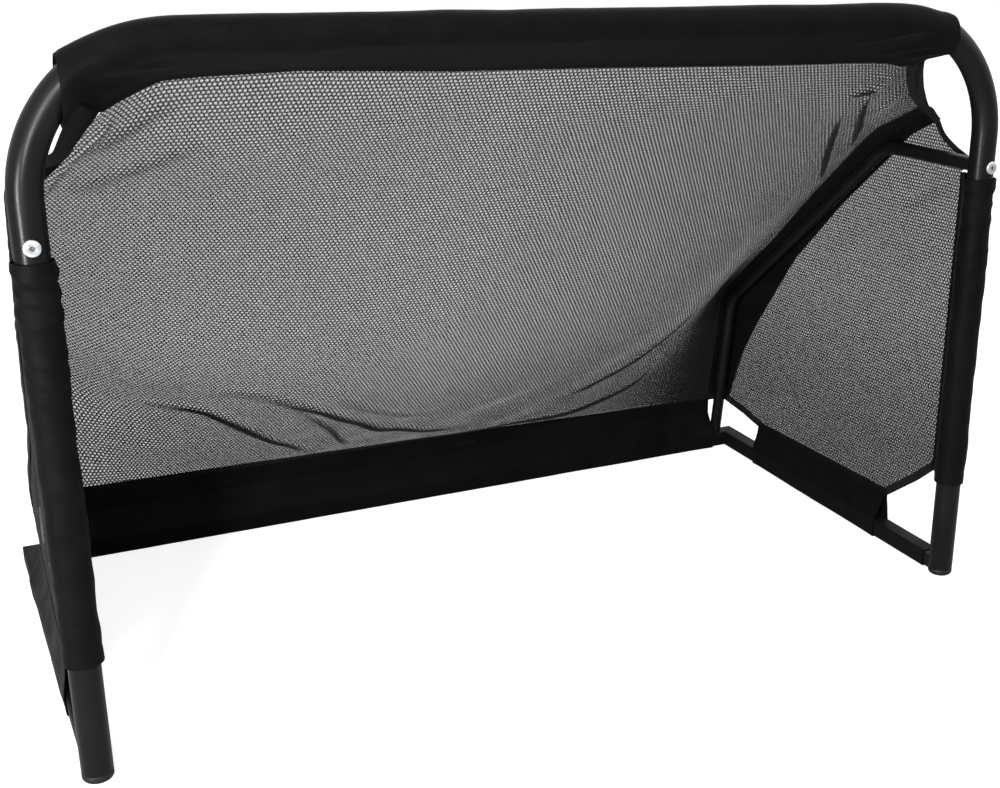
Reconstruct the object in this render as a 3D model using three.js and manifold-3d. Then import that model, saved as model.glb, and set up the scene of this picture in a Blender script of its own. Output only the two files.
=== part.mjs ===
// A knock-down goal for hockey games. A bent tube hoop with sleeved net stands on a square
// tube base, and two bent arms run from the hoop to the rear rail. Units are millimetres,
// +X is to the right seen from the front, +Y is towards the back, +Z is up.
import * as THREE from "three";
import { mergeVertices } from "three/addons/utils/BufferGeometryUtils.js";
import Module from "manifold-3d";

const wasm = await Module();
wasm.setup();

// ---- Driving dimensions ----

// Hoop: two bent posts joined by a straight crossbar
const POST_SPACING = 1166; // between the post centrelines
const CROSSBAR_HEIGHT = 779; // floor to the crossbar's centreline
const TUBE_OD = 34;
const TUBE_WALL = 1.5;
const HOOP_BEND_RADIUS = 151; // to the centreline
const CROSSBAR_LENGTH = 660; // full-diameter stretch between the posts' upper ends
const SWAGE_LENGTH = 60; // reduced end that enters the post tube

// Foot caps
const CAP_HEAD_HEIGHT = 10;
const CAP_PLUG_LENGTH = 25;
const CAP_FLAT_RADIUS = 12;

// Base: two side rails and a rear rail of square tube, mitred at the back
const BASE_DEPTH = 588; // post centreline to rear rail centreline
const RAIL_SIZE = 25;
const RAIL_WALL = 1.5;
const RAIL_CORNER_RADIUS = 2.5;
const RAIL_FRONT_GAP = 8; // bare stub between the post and the rail's front end
const STUB_ENGAGEMENT = 45; // length of the stub inside the rail
const STUB_WALL = 2;

// Arms: bent round tube from the post to the rear rail
const ARM_OD = 19;
const ARM_WALL = 1.2;
const ARM_BEND_RADIUS = 60;
const ARM_SHOULDER_REACH = 187; // level stretch behind the post centreline
const ARM_KNEE_HEIGHT = 252; // above the rail's top
const ARM_KNEE_SETBACK = 35; // in front of the arm's foot
const ARM_FOOT_INSET = 26; // inboard of the post's centreline
const SPIGOT_LENGTH = 40;

// Bolts that hold the arms, and the threaded plugs in the arms' front ends
const BOLT_BELOW_BEND = 38; // from the start of the hoop's bend down to the bolt
const BOLT_HEAD_DIAMETER = 17;
const BOLT_HEAD_THICKNESS = 3.5;
const BOLT_HEAD_CHAMFER = 0.8;
const BOLT_DIAMETER = 8;
const BOLT_GRIP = 23; // thread engaged behind the post
const SOCKET_ACROSS_FLATS = 5;
const SOCKET_DEPTH = 2.5;
const PLUG_LENGTH = 27;
const PLUG_END_WALL = 2;

// Net: cloth sleeves, mesh panels, corner bands and edge bindings
const CLOTH = 1.2;
const MESH = 1.0;
const TOP_SEAM_BACK = 58; // top sleeve's seam, behind the crossbar's centreline
const TOP_SEAM_DROP = 51; // and below it
const TOP_SLEEVE_LEFT_WRAP = 39; // degrees of the left bend that the sleeve covers
const TOP_SLEEVE_RIGHT_WRAP = 28;
const POST_SLEEVE_BOTTOM = 143;
const POST_SLEEVE_BELOW_BOLT = 16;
const POST_SEAM_BACK = 48;
const POST_SEAM_OUT = 11; // outboard of the post's centreline, so that the net clears the arm
const SEAM_DEPTH = 3; // half of the sewn ridge where a sleeve closes
const REAR_SLEEVE_END_GAP = 1.5; // from the rear sleeve's end to the arm's foot
const REAR_SEAM_HEIGHT = 61;
const REAR_SEAM_BACK = 10; // behind the rail's centreline
const REAR_HEM_HEIGHT = 31; // single band above the seam
const SIDE_SEAM_HEIGHT = 73;
const SIDE_SLEEVE_FRONT = 142; // behind the post centreline
const SIDE_SLEEVE_REAR = 480;
const SIDE_PANEL_TOE = 19; // how far the side panel leans inboard from front to rear seam
const SHEET_ABOVE_ARM = 15; // rear sheet over the arm's centreline
const DIP_BACK = 112; // the rear sheet's dip behind the crossbar
const DIP_HEIGHT = 65; // above the bolts
const BAND_WIDTH = 44; // of the corner band on the rear sheet
const BAND_CURVE = 0.65; // where along the arm's slope the band's edge bends most
const BELLY = 33; // how far the rear mesh sags below a straight line from its seam to its hem
const BELLY_LOW = 20; // more of it low down and less high up
const BELLY_FADE = 2.9; // power by which the sag fades from the middle to the arms
const BINDING_DIAMETER = 4;
const NET_BEHIND_POST = 11; // from the post's surface to the net's top front corner

// Clearances
const WELD_GAP = 0.3;
const PLUG_CLEARANCE = 0.3;
const SLIP = 0.4; // cloth to tube
const SEW_GAP = 0.5; // between sewn pieces
const HOLE_CLEARANCE = 0.4;

// Facet counts
const ROUND_SEGMENTS = 28;
const BORE_SEGMENTS = 18;
const ARM_SEGMENTS = 20;
const ARM_BORE_SEGMENTS = 14;
const HOOP_BEND_STEPS = 15;
const ARM_BEND_STEPS = 7;
const SLEEVE_BEND_STEPS = 8;
const SLEEVE_ROUND_STEPS = 16;
const BELLY_COLUMN = 55; // widest step across the rear mesh
const BELLY_ROW = 0.055; // longest step down it, as a share of its height
const SIDE_SLEEVE_STEPS = 16; // the ridge is skew to the rail, so the walls twist along the way

// ---- Places that follow from the dimensions ----

const POST_X = POST_SPACING / 2;
const TUBE_R = TUBE_OD / 2;
const TUBE_BORE_R = TUBE_R - TUBE_WALL;
const ARM_R = ARM_OD / 2;
const ARM_BORE_R = ARM_R - ARM_WALL;
// The bore is faceted, so what fits in it clears the facets' flats too.
const ARM_PLUG_R = ARM_BORE_R * Math.cos(Math.PI / ARM_BORE_SEGMENTS) - PLUG_CLEARANCE;
const SWAGE_R = TUBE_BORE_R * Math.cos(Math.PI / BORE_SEGMENTS) - PLUG_CLEARANCE;
const RAIL_HALF = RAIL_SIZE / 2;
const RAIL_BOTTOM = CLOTH + SLIP;
const RAIL_TOP = RAIL_BOTTOM + RAIL_SIZE;
const RAIL_MID = RAIL_BOTTOM + RAIL_HALF;
const RAIL_FRONT_Y = TUBE_R + RAIL_FRONT_GAP;
const BEND_START_Z = CROSSBAR_HEIGHT - HOOP_BEND_RADIUS;
const BOLT_Z = BEND_START_Z - BOLT_BELOW_BEND;
const ARM_TOE = Math.atan2(ARM_FOOT_INSET, BASE_DEPTH);
const ARM_FOOT_Y = Math.hypot(ARM_FOOT_INSET, BASE_DEPTH); // measured in the arm's own plane
const KNEE_Y = ARM_FOOT_Y - ARM_KNEE_SETBACK;
const KNEE_Z = RAIL_TOP + ARM_KNEE_HEIGHT;
const POST_SLEEVE_TOP = BOLT_Z - POST_SLEEVE_BELOW_BOLT;
const SIDE_FRONT_X = POST_X + POST_SEAM_OUT;
const REAR_SLEEVE_HALF_LENGTH = POST_X - ARM_FOOT_INSET - ARM_R - REAR_SLEEVE_END_GAP;

const X_AXIS = new THREE.Vector3(1, 0, 0);
const Y_AXIS = new THREE.Vector3(0, 1, 0);
const Z_AXIS = new THREE.Vector3(0, 0, 1);

// ---- Paths, sections and booleans ----

// A path in one plane that keeps its own stations, so that a straight run takes one step.
// A section's first coordinate runs along the plane's normal and its second along
// tangent x normal.
class PlanarPath extends THREE.Curve {
  constructor(stations, normal) {
    super();
    this.stations = stations;
    this.normal = normal;
    this.steps = stations.length - 1;
  }

  getPoint(t) {
    return this.stations[Math.round(t * this.steps)].point.clone();
  }

  getPointAt(u) {
    return this.getPoint(u);
  }

  computeFrenetFrames() {
    const tangents = this.stations.map((station) => station.tangent.clone());
    const normals = tangents.map(() => this.normal.clone());
    const binormals = tangents.map((tangent) => tangent.clone().cross(this.normal));
    return { tangents, normals, binormals };
  }
}

// Straight runs between corners, with an arc of the given radius at each inner corner.
function bentPath(corners, radius, steps, normal) {
  const stations = [];
  const last = corners.length - 1;
  const direction = (i) => corners[i + 1].clone().sub(corners[i]).normalize();
  stations.push({ point: corners[0].clone(), tangent: direction(0) });
  for (let i = 1; i < last; i += 1) {
    const before = direction(i - 1);
    const after = direction(i);
    const angle = before.angleTo(after);
    const inward = after.clone().addScaledVector(before, -after.dot(before)).normalize();
    const start = corners[i].clone().addScaledVector(before, -radius * Math.tan(angle / 2));
    for (let step = 0; step <= steps; step += 1) {
      const turned = (angle * step) / steps;
      stations.push({
        point: start
          .clone()
          .addScaledVector(before, radius * Math.sin(turned))
          .addScaledVector(inward, radius * (1 - Math.cos(turned))),
        tangent: before
          .clone()
          .multiplyScalar(Math.cos(turned))
          .addScaledVector(inward, Math.sin(turned)),
      });
    }
  }
  stations.push({ point: corners[last].clone(), tangent: direction(last - 1) });
  return new PlanarPath(stations, normal);
}

function sweep(section, path) {
  return new THREE.ExtrudeGeometry(section, { steps: path.steps, extrudePath: path });
}

// A prism along a straight line from one point to another, divided into equal steps.
function prism(section, from, to, normal, steps = 1) {
  const tangent = to.clone().sub(from).normalize();
  const stations = Array.from({ length: steps + 1 }, (_, i) => ({
    point: from.clone().lerp(to, i / steps),
    tangent,
  }));
  return sweep(section, new PlanarPath(stations, normal));
}

function polygon(points, hole) {
  const shape = new THREE.Shape(points.map(([a, b]) => new THREE.Vector2(a, b)));
  if (hole) {
    shape.holes.push(new THREE.Path(hole.map(([a, b]) => new THREE.Vector2(a, b))));
  }
  return shape;
}

function circlePoints(radius, segments) {
  const angles = Array.from({ length: segments }, (_, i) => (2 * Math.PI * i) / segments);
  return angles.map((angle) => [radius * Math.cos(angle), radius * Math.sin(angle)]);
}

function ringSection(outer, outerSegments, inner, innerSegments) {
  return polygon(circlePoints(outer, outerSegments), circlePoints(inner, innerSegments));
}

function roundedSquarePoints(half, radius) {
  const points = [];
  const steps = 3;
  for (let corner = 0; corner < 4; corner += 1) {
    const base = (Math.PI / 2) * corner;
    const centreA = (half - radius) * Math.sign(Math.cos(base + Math.PI / 4));
    const centreB = (half - radius) * Math.sign(Math.sin(base + Math.PI / 4));
    for (let step = 0; step <= steps; step += 1) {
      const angle = base + ((Math.PI / 2) * step) / steps;
      points.push([centreA + radius * Math.cos(angle), centreB + radius * Math.sin(angle)]);
    }
  }
  return points;
}

function squareTubeSection(size, wall, cornerRadius) {
  const innerRadius = Math.max(cornerRadius - wall, 0.5);
  return polygon(
    roundedSquarePoints(size / 2, cornerRadius),
    roundedSquarePoints(size / 2 - wall, innerRadius),
  );
}

// A cloth loop round a round tube, closed at a seam beside it.
function teardropPoints(radius, seamA, seamB, seamShift) {
  const reach = Math.hypot(seamA, seamB) + seamShift;
  const heading = Math.atan2(seamB, seamA);
  const tangentAngle = Math.acos(radius / reach);
  const sweepAngle = 2 * Math.PI - 2 * tangentAngle;
  const points = [[reach * Math.cos(heading), reach * Math.sin(heading)]];
  for (let i = 0; i <= SLEEVE_ROUND_STEPS; i += 1) {
    const angle = heading + tangentAngle + (sweepAngle * i) / SLEEVE_ROUND_STEPS;
    points.push([radius * Math.cos(angle), radius * Math.sin(angle)]);
  }
  return points;
}

function teardropSection(seamA, seamB) {
  const radius = TUBE_R + SLIP;
  return polygon(
    teardropPoints(radius + CLOTH, seamA, seamB, SEAM_DEPTH),
    teardropPoints(radius, seamA, seamB, -SEAM_DEPTH),
  );
}

// A cloth loop round a square rail, closed at a seam above it, with a hem over the seam.
function railLoopSection(seamOffset, seamHeight, hemHeight) {
  const inner = RAIL_HALF + SLIP;
  const outer = inner + CLOTH;
  const shoulder = RAIL_TOP + SLIP;
  const top = seamHeight + hemHeight;
  const outline = [
    [-outer, 0],
    [outer, 0],
    [outer, shoulder],
    [seamOffset + CLOTH, seamHeight],
    [seamOffset + CLOTH, top],
    [seamOffset - CLOTH, top],
    [seamOffset - CLOTH, seamHeight],
    [-outer, shoulder],
  ];
  const hole = [
    [-inner, CLOTH],
    [inner, CLOTH],
    [inner, shoulder],
    [seamOffset, seamHeight - 2 * SEAM_DEPTH],
    [-inner, shoulder],
  ];
  return polygon(outline, hole);
}

// An open line given an even thickness, half to each side, with mitred corners.
function thickLine(points, thickness) {
  const half = thickness / 2;
  const normals = points.slice(1).map(([a, b], i) => {
    const [a0, b0] = points[i];
    const length = Math.hypot(a - a0, b - b0);
    return [-(b - b0) / length, (a - a0) / length];
  });
  const offset = (side) =>
    points.map(([a, b], i) => {
      const n0 = normals[Math.max(i - 1, 0)];
      const n1 = normals[Math.min(i, normals.length - 1)];
      const scale = (side * half) / (1 + n0[0] * n1[0] + n0[1] * n1[1]);
      return [a + (n0[0] + n1[0]) * scale, b + (n0[1] + n1[1]) * scale];
    });
  return polygon([...offset(1), ...offset(-1).reverse()]);
}

function latheProfile(points, segments) {
  return new THREE.LatheGeometry(
    points.map(([r, h]) => new THREE.Vector2(r, h)),
    segments,
  );
}

function toManifold(geometry) {
  let plain = geometry.clone();
  plain.deleteAttribute("normal");
  plain.deleteAttribute("uv");
  plain = mergeVertices(plain, 1e-3);
  const index = Uint32Array.from(plain.index.array);
  const kept = [];
  for (let i = 0; i < index.length; i += 3) {
    const [a, b, c] = index.slice(i, i + 3);
    if (a !== b && b !== c && a !== c) kept.push(a, b, c);
  }
  const mesh = new wasm.Mesh({
    numProp: 3,
    vertProperties: Float32Array.from(plain.attributes.position.array),
    triVerts: Uint32Array.from(kept),
  });
  return new wasm.Manifold(mesh);
}

function toGeometry(solid) {
  const mesh = solid.getMesh();
  const geometry = new THREE.BufferGeometry();
  geometry.setAttribute("position", new THREE.BufferAttribute(mesh.vertProperties, 3));
  geometry.setIndex(new THREE.BufferAttribute(mesh.triVerts, 1));
  return geometry;
}

function cut(geometry, ...tools) {
  const solid = tools.reduce((left, tool) => left.subtract(toManifold(tool)), toManifold(geometry));
  return toGeometry(solid);
}

function keepWithin(geometry, region) {
  return toGeometry(toManifold(geometry).intersect(toManifold(region)));
}

function join(first, second) {
  return toGeometry(toManifold(first).add(toManifold(second)));
}

// The same shape on the other side of the goal, with its faces turned back outwards.
function mirrored(geometry) {
  const copy = geometry.clone();
  copy.scale(-1, 1, 1);
  const flat = copy.index ? copy.toNonIndexed() : copy;
  const position = flat.attributes.position;
  for (let i = 0; i < position.count; i += 3) {
    const swap = new THREE.Vector3().fromBufferAttribute(position, i + 1);
    const other = new THREE.Vector3().fromBufferAttribute(position, i + 2);
    position.setXYZ(i + 1, other.x, other.y, other.z);
    position.setXYZ(i + 2, swap.x, swap.y, swap.z);
  }
  flat.deleteAttribute("normal");
  flat.computeVertexNormals();
  return flat;
}

// A round cutter along the height or the depth, centred on a post's axis.
function verticalCutter(radius) {
  const cutter = new THREE.CylinderGeometry(radius, radius, 2 * CROSSBAR_HEIGHT, ROUND_SEGMENTS * 2);
  return cutter.rotateX(Math.PI / 2);
}

// ---- Finishes ----

function finish(color, roughness, metalness) {
  return () => new THREE.MeshStandardMaterial({ color, roughness, metalness });
}

const paintedSteel = finish(0x121214, 0.32, 0.4);
const blackPlastic = finish(0x141414, 0.5, 0);
const zincSteel = finish(0xb9bbbd, 0.35, 0.9);
const oxfordCloth = finish(0x1b1b1c, 0.85, 0);
const knittedMesh = finish(0x4c4c4c, 0.9, 0);
const bindingTape = finish(0x161616, 0.9, 0);

const goal = new THREE.Group();

function addPiece(name, geometry, material, parent = goal) {
  const mesh = new THREE.Mesh(geometry, material());
  mesh.name = name;
  parent.add(mesh);
  return mesh;
}

// Adds the right-hand piece and its mirror image.
function addPair(name, geometry, material) {
  addPiece(`right_${name}`, geometry, material);
  addPiece(`left_${name}`, mirrored(geometry), material);
}

// ---- Hoop ----

function postTube() {
  const jointX = CROSSBAR_LENGTH / 2 + WELD_GAP;
  const corners = [
    new THREE.Vector3(POST_X, 0, CAP_HEAD_HEIGHT + WELD_GAP),
    new THREE.Vector3(POST_X, 0, CROSSBAR_HEIGHT),
    new THREE.Vector3(jointX, 0, CROSSBAR_HEIGHT),
  ];
  const section = ringSection(TUBE_R, ROUND_SEGMENTS, TUBE_BORE_R, BORE_SEGMENTS);
  const tube = sweep(section, bentPath(corners, HOOP_BEND_RADIUS, HOOP_BEND_STEPS, Y_AXIS));
  const holeRadius = BOLT_DIAMETER / 2 + HOLE_CLEARANCE;
  const hole = new THREE.CylinderGeometry(holeRadius, holeRadius, 2 * TUBE_OD, BORE_SEGMENTS);
  hole.rotateZ(ARM_TOE);
  hole.translate(POST_X, 0, BOLT_Z);
  return cut(tube, hole);
}

function crossbar() {
  const shoulder = CROSSBAR_LENGTH / 2;
  const taper = 3;
  const outer = [
    [SWAGE_R, shoulder + SWAGE_LENGTH],
    [SWAGE_R, shoulder],
    [TUBE_R, shoulder],
  ];
  const inner = [
    [TUBE_BORE_R, shoulder - taper],
    [SWAGE_R - TUBE_WALL, shoulder],
    [SWAGE_R - TUBE_WALL, shoulder + SWAGE_LENGTH],
  ];
  const flip = ([r, h]) => [r, -h];
  const profile = [
    ...outer,
    ...outer.map(flip).reverse(),
    ...inner.map(flip).reverse(),
    ...inner,
    outer[0],
  ];
  const bar = latheProfile(profile.reverse(), ROUND_SEGMENTS);
  bar.rotateZ(Math.PI / 2);
  bar.translate(0, 0, CROSSBAR_HEIGHT);
  return bar;
}

function footCap() {
  const fillet = TUBE_R - CAP_FLAT_RADIUS;
  const points = [[0, 0]];
  const steps = 5;
  for (let i = 0; i <= steps; i += 1) {
    const angle = ((Math.PI / 2) * i) / steps;
    points.push([
      CAP_FLAT_RADIUS + fillet * Math.sin(angle),
      fillet * (1 - Math.cos(angle)),
    ]);
  }
  points.push([TUBE_R, CAP_HEAD_HEIGHT]);
  points.push([SWAGE_R, CAP_HEAD_HEIGHT]);
  points.push([SWAGE_R, CAP_HEAD_HEIGHT + CAP_PLUG_LENGTH]);
  points.push([0, CAP_HEAD_HEIGHT + CAP_PLUG_LENGTH]);
  const cap = latheProfile(points, ROUND_SEGMENTS);
  cap.rotateX(Math.PI / 2);
  cap.translate(POST_X, 0, 0);
  return cap;
}

function addHoop() {
  addPair("post", postTube(), paintedSteel);
  addPiece("crossbar", crossbar(), paintedSteel);
  addPair("foot_cap", footCap(), blackPlastic);
}

// ---- Base ----

// Slides the points of a rail's end along it, so that the end lies on a 45 degree mitre.
function mitre(geometry, isEnd, slide) {
  const position = geometry.attributes.position;
  const point = new THREE.Vector3();
  for (let i = 0; i < position.count; i += 1) {
    point.fromBufferAttribute(position, i);
    if (isEnd(point)) slide(point);
    position.setXYZ(i, point.x, point.y, point.z);
  }
  return geometry;
}

function sideRail() {
  const rear = BASE_DEPTH - WELD_GAP / 2;
  const section = squareTubeSection(RAIL_SIZE, RAIL_WALL, RAIL_CORNER_RADIUS);
  const rail = prism(
    section,
    new THREE.Vector3(POST_X, rear, RAIL_MID),
    new THREE.Vector3(POST_X, RAIL_FRONT_Y, RAIL_MID),
    X_AXIS,
  );
  return mitre(
    rail,
    (point) => point.y > rear - 1,
    (point) => {
      point.y += point.x - POST_X;
    },
  );
}

function rearRail() {
  const half = POST_X - WELD_GAP / 2;
  const section = squareTubeSection(RAIL_SIZE, RAIL_WALL, RAIL_CORNER_RADIUS);
  const rail = prism(
    section,
    new THREE.Vector3(-half, BASE_DEPTH, RAIL_MID),
    new THREE.Vector3(half, BASE_DEPTH, RAIL_MID),
    Y_AXIS,
  );
  return mitre(
    rail,
    () => true,
    (point) => {
      point.x += Math.sign(point.x) * (point.y - BASE_DEPTH);
    },
  );
}

// The square stub welded to the post, which the side rail slides over.
function footStub() {
  const size = RAIL_SIZE - 2 * RAIL_WALL - 2 * PLUG_CLEARANCE;
  const stub = prism(
    squareTubeSection(size, STUB_WALL, 1),
    new THREE.Vector3(0, RAIL_FRONT_Y + STUB_ENGAGEMENT, RAIL_MID),
    new THREE.Vector3(0, 0, RAIL_MID),
    X_AXIS,
  );
  const coped = cut(stub, verticalCutter(TUBE_R + WELD_GAP));
  coped.translate(POST_X, 0, 0);
  return coped;
}

function addBase() {
  addPair("side_rail", sideRail(), paintedSteel);
  addPiece("rear_rail", rearRail(), paintedSteel);
  addPair("foot_stub", footStub(), paintedSteel);
}

// ---- Arms, each built in its own upright plane with the post's axis at the origin ----

const LEG_DIRECTION = new THREE.Vector3(0, ARM_KNEE_SETBACK, -ARM_KNEE_HEIGHT).normalize();

function belowRailTop() {
  const size = 4 * ARM_FOOT_Y;
  const block = new THREE.BoxGeometry(size, size, size);
  block.translate(0, 0, RAIL_TOP + WELD_GAP - size / 2);
  return block;
}

function armTube() {
  const foot = new THREE.Vector3(0, ARM_FOOT_Y, RAIL_TOP);
  const corners = [
    new THREE.Vector3(0, 0, BOLT_Z),
    new THREE.Vector3(0, ARM_SHOULDER_REACH, BOLT_Z),
    new THREE.Vector3(0, KNEE_Y, KNEE_Z),
    foot.addScaledVector(LEG_DIRECTION, ARM_OD),
  ];
  const section = ringSection(ARM_R, ARM_SEGMENTS, ARM_BORE_R, ARM_BORE_SEGMENTS);
  const tube = sweep(section, bentPath(corners, ARM_BEND_RADIUS, ARM_BEND_STEPS, X_AXIS));
  return cut(tube, verticalCutter(TUBE_R + WELD_GAP), belowRailTop());
}

// The pin welded to the rear rail, which the arm's lower end stands over.
function armSpigot() {
  const foot = new THREE.Vector3(0, ARM_FOOT_Y, RAIL_TOP);
  const pin = prism(
    polygon(circlePoints(ARM_PLUG_R, ARM_BORE_SEGMENTS)),
    foot.clone().addScaledVector(LEG_DIRECTION, ARM_OD),
    foot.clone().addScaledVector(LEG_DIRECTION, -SPIGOT_LENGTH),
    X_AXIS,
  );
  return cut(pin, belowRailTop());
}

// The threaded plug pressed into the arm's front end.
function armPlug() {
  const radius = ARM_PLUG_R;
  const bore = BOLT_DIAMETER / 2 + HOLE_CLEARANCE;
  const front = TUBE_R + 2 * WELD_GAP;
  const back = front + PLUG_LENGTH;
  const profile = [
    [0, back],
    [radius, back],
    [radius, front],
    [bore, front],
    [bore, back - PLUG_END_WALL],
    [0, back - PLUG_END_WALL],
  ];
  const plug = latheProfile(profile.reverse(), ARM_BORE_SEGMENTS);
  plug.translate(0, 0, BOLT_Z);
  return plug;
}

function armBolt() {
  const seat = -(TUBE_R + WELD_GAP);
  const face = seat - BOLT_HEAD_THICKNESS;
  const headR = BOLT_HEAD_DIAMETER / 2;
  const shankR = BOLT_DIAMETER / 2;
  const tip = TUBE_R + BOLT_GRIP;
  const profile = [
    [0, face],
    [headR - BOLT_HEAD_CHAMFER, face],
    [headR, face + BOLT_HEAD_CHAMFER],
    [headR, seat],
    [shankR, seat],
    [shankR, tip - 1],
    [shankR - 1, tip],
    [0, tip],
  ];
  const bolt = latheProfile(profile, ROUND_SEGMENTS);
  const socketR = SOCKET_ACROSS_FLATS / Math.sqrt(3);
  const socket = new THREE.CylinderGeometry(socketR, socketR, 2 * SOCKET_DEPTH, 6);
  socket.translate(0, face, 0);
  const drilled = cut(bolt, socket);
  drilled.translate(0, 0, BOLT_Z);
  return drilled;
}

function addArms() {
  for (const [name, side] of [["right", 1], ["left", -1]]) {
    const arm = new THREE.Group();
    arm.position.x = side * POST_X;
    arm.rotation.z = side * ARM_TOE;
    goal.add(arm);
    addPiece(`${name}_arm`, armTube(), paintedSteel, arm);
    addPiece(`${name}_arm_spigot`, armSpigot(), paintedSteel, arm);
    addPiece(`${name}_arm_plug`, armPlug(), zincSteel, arm);
    addPiece(`${name}_arm_bolt`, armBolt(), zincSteel, arm);
  }
}

// ---- Net ----

// Where the rear sheet runs, as [y, z] points from the top sleeve's seam to the rear hem.
function sheetLine() {
  const reach = Math.hypot(TOP_SEAM_BACK, TOP_SEAM_DROP);
  const seamScale = (reach + SEAM_DEPTH + 2 * SEW_GAP) / reach;
  const slope = Math.atan2(BOLT_Z - KNEE_Z, KNEE_Y - ARM_SHOULDER_REACH);
  const lift = [SHEET_ABOVE_ARM * Math.sin(slope), SHEET_ABOVE_ARM * Math.cos(slope)];
  const depthScale = BASE_DEPTH / ARM_FOOT_Y;
  return [
    [TOP_SEAM_BACK * seamScale, CROSSBAR_HEIGHT - TOP_SEAM_DROP * seamScale],
    [DIP_BACK, BOLT_Z + DIP_HEIGHT],
    [ARM_SHOULDER_REACH * depthScale, BOLT_Z + SHEET_ABOVE_ARM + 1],
    [KNEE_Y * depthScale + lift[0], KNEE_Z + lift[1]],
    [BASE_DEPTH + REAR_SEAM_BACK, REAR_SEAM_HEIGHT + REAR_HEM_HEIGHT + SEW_GAP],
  ];
}

const SHEET = sheetLine();
const [, DIP, OVER_SHOULDER, OVER_KNEE, SHEET_END] = SHEET;

// The side panel's plane: its distance from the middle at a depth.
const sidePanelLean = SIDE_PANEL_TOE / (BASE_DEPTH - POST_SEAM_BACK);
const sideX = (y) => SIDE_FRONT_X - sidePanelLean * (y - POST_SEAM_BACK);

// The corner band's front edge on the side panel, as [y, z] points from top to bottom.
function bandEdge() {
  const start = new THREE.Vector2(ARM_SHOULDER_REACH, BOLT_Z - ARM_R / 2);
  const middle = new THREE.Vector2(...OVER_SHOULDER).lerp(new THREE.Vector2(...OVER_KNEE), BAND_CURVE);
  const end = new THREE.Vector2(SHEET_END[0] - BAND_WIDTH / 2, SHEET_END[1]);
  const curve = new THREE.QuadraticBezierCurve(start, middle, end);
  return [
    [DIP[0] - 12, DIP[1] - 18],
    [OVER_SHOULDER[0] - 27, OVER_SHOULDER[1] + 1],
    ...curve.getPoints(8).map((point) => [point.x, point.y]),
  ];
}

// Stands a flat [y, z] outline on the leaning plane of the right-hand side panel.
function sideSlab(points, thickness) {
  const slab = prism(
    polygon(points),
    new THREE.Vector3(-thickness / 2, 0, 0),
    new THREE.Vector3(thickness / 2, 0, 0),
    Y_AXIS,
  );
  const position = slab.attributes.position;
  for (let i = 0; i < position.count; i += 1) {
    position.setX(i, position.getX(i) + sideX(position.getY(i)));
  }
  return slab;
}

// Where the net's upper front edge runs on the side panel, as [y, z] points from the post up.
function sideTopEdge() {
  const [topY, topZ] = bandEdge()[0];
  return [
    [TUBE_R + NET_BEHIND_POST, BOLT_Z + BOLT_DIAMETER / 2],
    [topY - SEW_GAP, topZ - SEW_GAP],
  ];
}

function sideMesh() {
  const edge = bandEdge().map(([y, z]) => [y - SEW_GAP, z - SEW_GAP]);
  const frontY = POST_SEAM_BACK + SEAM_DEPTH + SEW_GAP;
  const ridge = SIDE_SEAM_HEIGHT + SEW_GAP;
  const outline = [
    [SIDE_SLEEVE_FRONT, ridge],
    [SIDE_SLEEVE_REAR, ridge],
    ...edge.reverse().map(([y, z]) => [y, Math.max(z, ridge)]),
    sideTopEdge()[0],
    [frontY, POST_SLEEVE_TOP + SEW_GAP],
    [frontY, POST_SLEEVE_BOTTOM],
  ];
  return sideSlab(outline, MESH);
}

const SHEET_HALF_WIDTH = SIDE_FRONT_X + CLOTH;

// The rear sheet's full-width slab over the arms, from which its corner bands are cut.
function sheetSlab(thickness) {
  return prism(
    thickLine(SHEET, thickness),
    new THREE.Vector3(-SHEET_HALF_WIDTH, 0, 0),
    new THREE.Vector3(SHEET_HALF_WIDTH, 0, 0),
    Y_AXIS,
  );
}

// Between the arms the rear mesh hangs free. A place down it is a share of the chord, the
// straight line from its seam to its hem, and its depth is how far it lies below the chord.
const SHEET_START = new THREE.Vector2(...SHEET[0]);
const CHORD = new THREE.Vector2(...SHEET_END).sub(SHEET_START);
const BELOW_CHORD = new THREE.Vector2(CHORD.y, -CHORD.x).normalize();
const BELLY_HALF_WIDTH = sideX(OVER_KNEE[0]) - BAND_WIDTH;
const OVER_ARMS = SHEET.map(([y, z]) => {
  const corner = new THREE.Vector2(y, z).sub(SHEET_START);
  return { place: corner.dot(CHORD) / CHORD.lengthSq(), depth: corner.dot(BELOW_CHORD) };
});

function depthOverArms(place) {
  const next = OVER_ARMS.findIndex((corner) => corner.place > place);
  if (next === -1) {
    return OVER_ARMS.at(-1).depth;
  }
  const [before, after] = OVER_ARMS.slice(next - 1, next + 1);
  return THREE.MathUtils.mapLinear(place, before.place, after.place, before.depth, after.depth);
}

function rearMeshDepth(x, place) {
  const fade = 1 - Math.min(Math.abs(x) / BELLY_HALF_WIDTH, 1) ** BELLY_FADE;
  const hanging = BELLY * Math.sin(Math.PI * place) - BELLY_LOW * Math.sin(2 * Math.PI * place);
  return THREE.MathUtils.lerp(depthOverArms(place), hanging, fade);
}

// Places from the first corner to the last, through each corner, in steps up to the longest.
function divided(corners, longest) {
  return corners.flatMap((corner, i) => {
    const before = corners[Math.max(i - 1, 0)];
    const count = Math.max(Math.ceil((corner - before) / longest), 1);
    return Array.from({ length: count }, (_, k) => before + ((corner - before) * (k + 1)) / count);
  });
}

// Splits the quads of a box's last face along the diagonals of the face opposite, so that the
// two stay the same distance apart where the sheet between them twists.
function matchDiagonals(index, { start, count }) {
  for (let i = start; i < start + count; i += 6) {
    const [a, b, d, , c] = index.slice(i, i + 6);
    index.set([a, b, c, a, c, d], i);
  }
}

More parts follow.
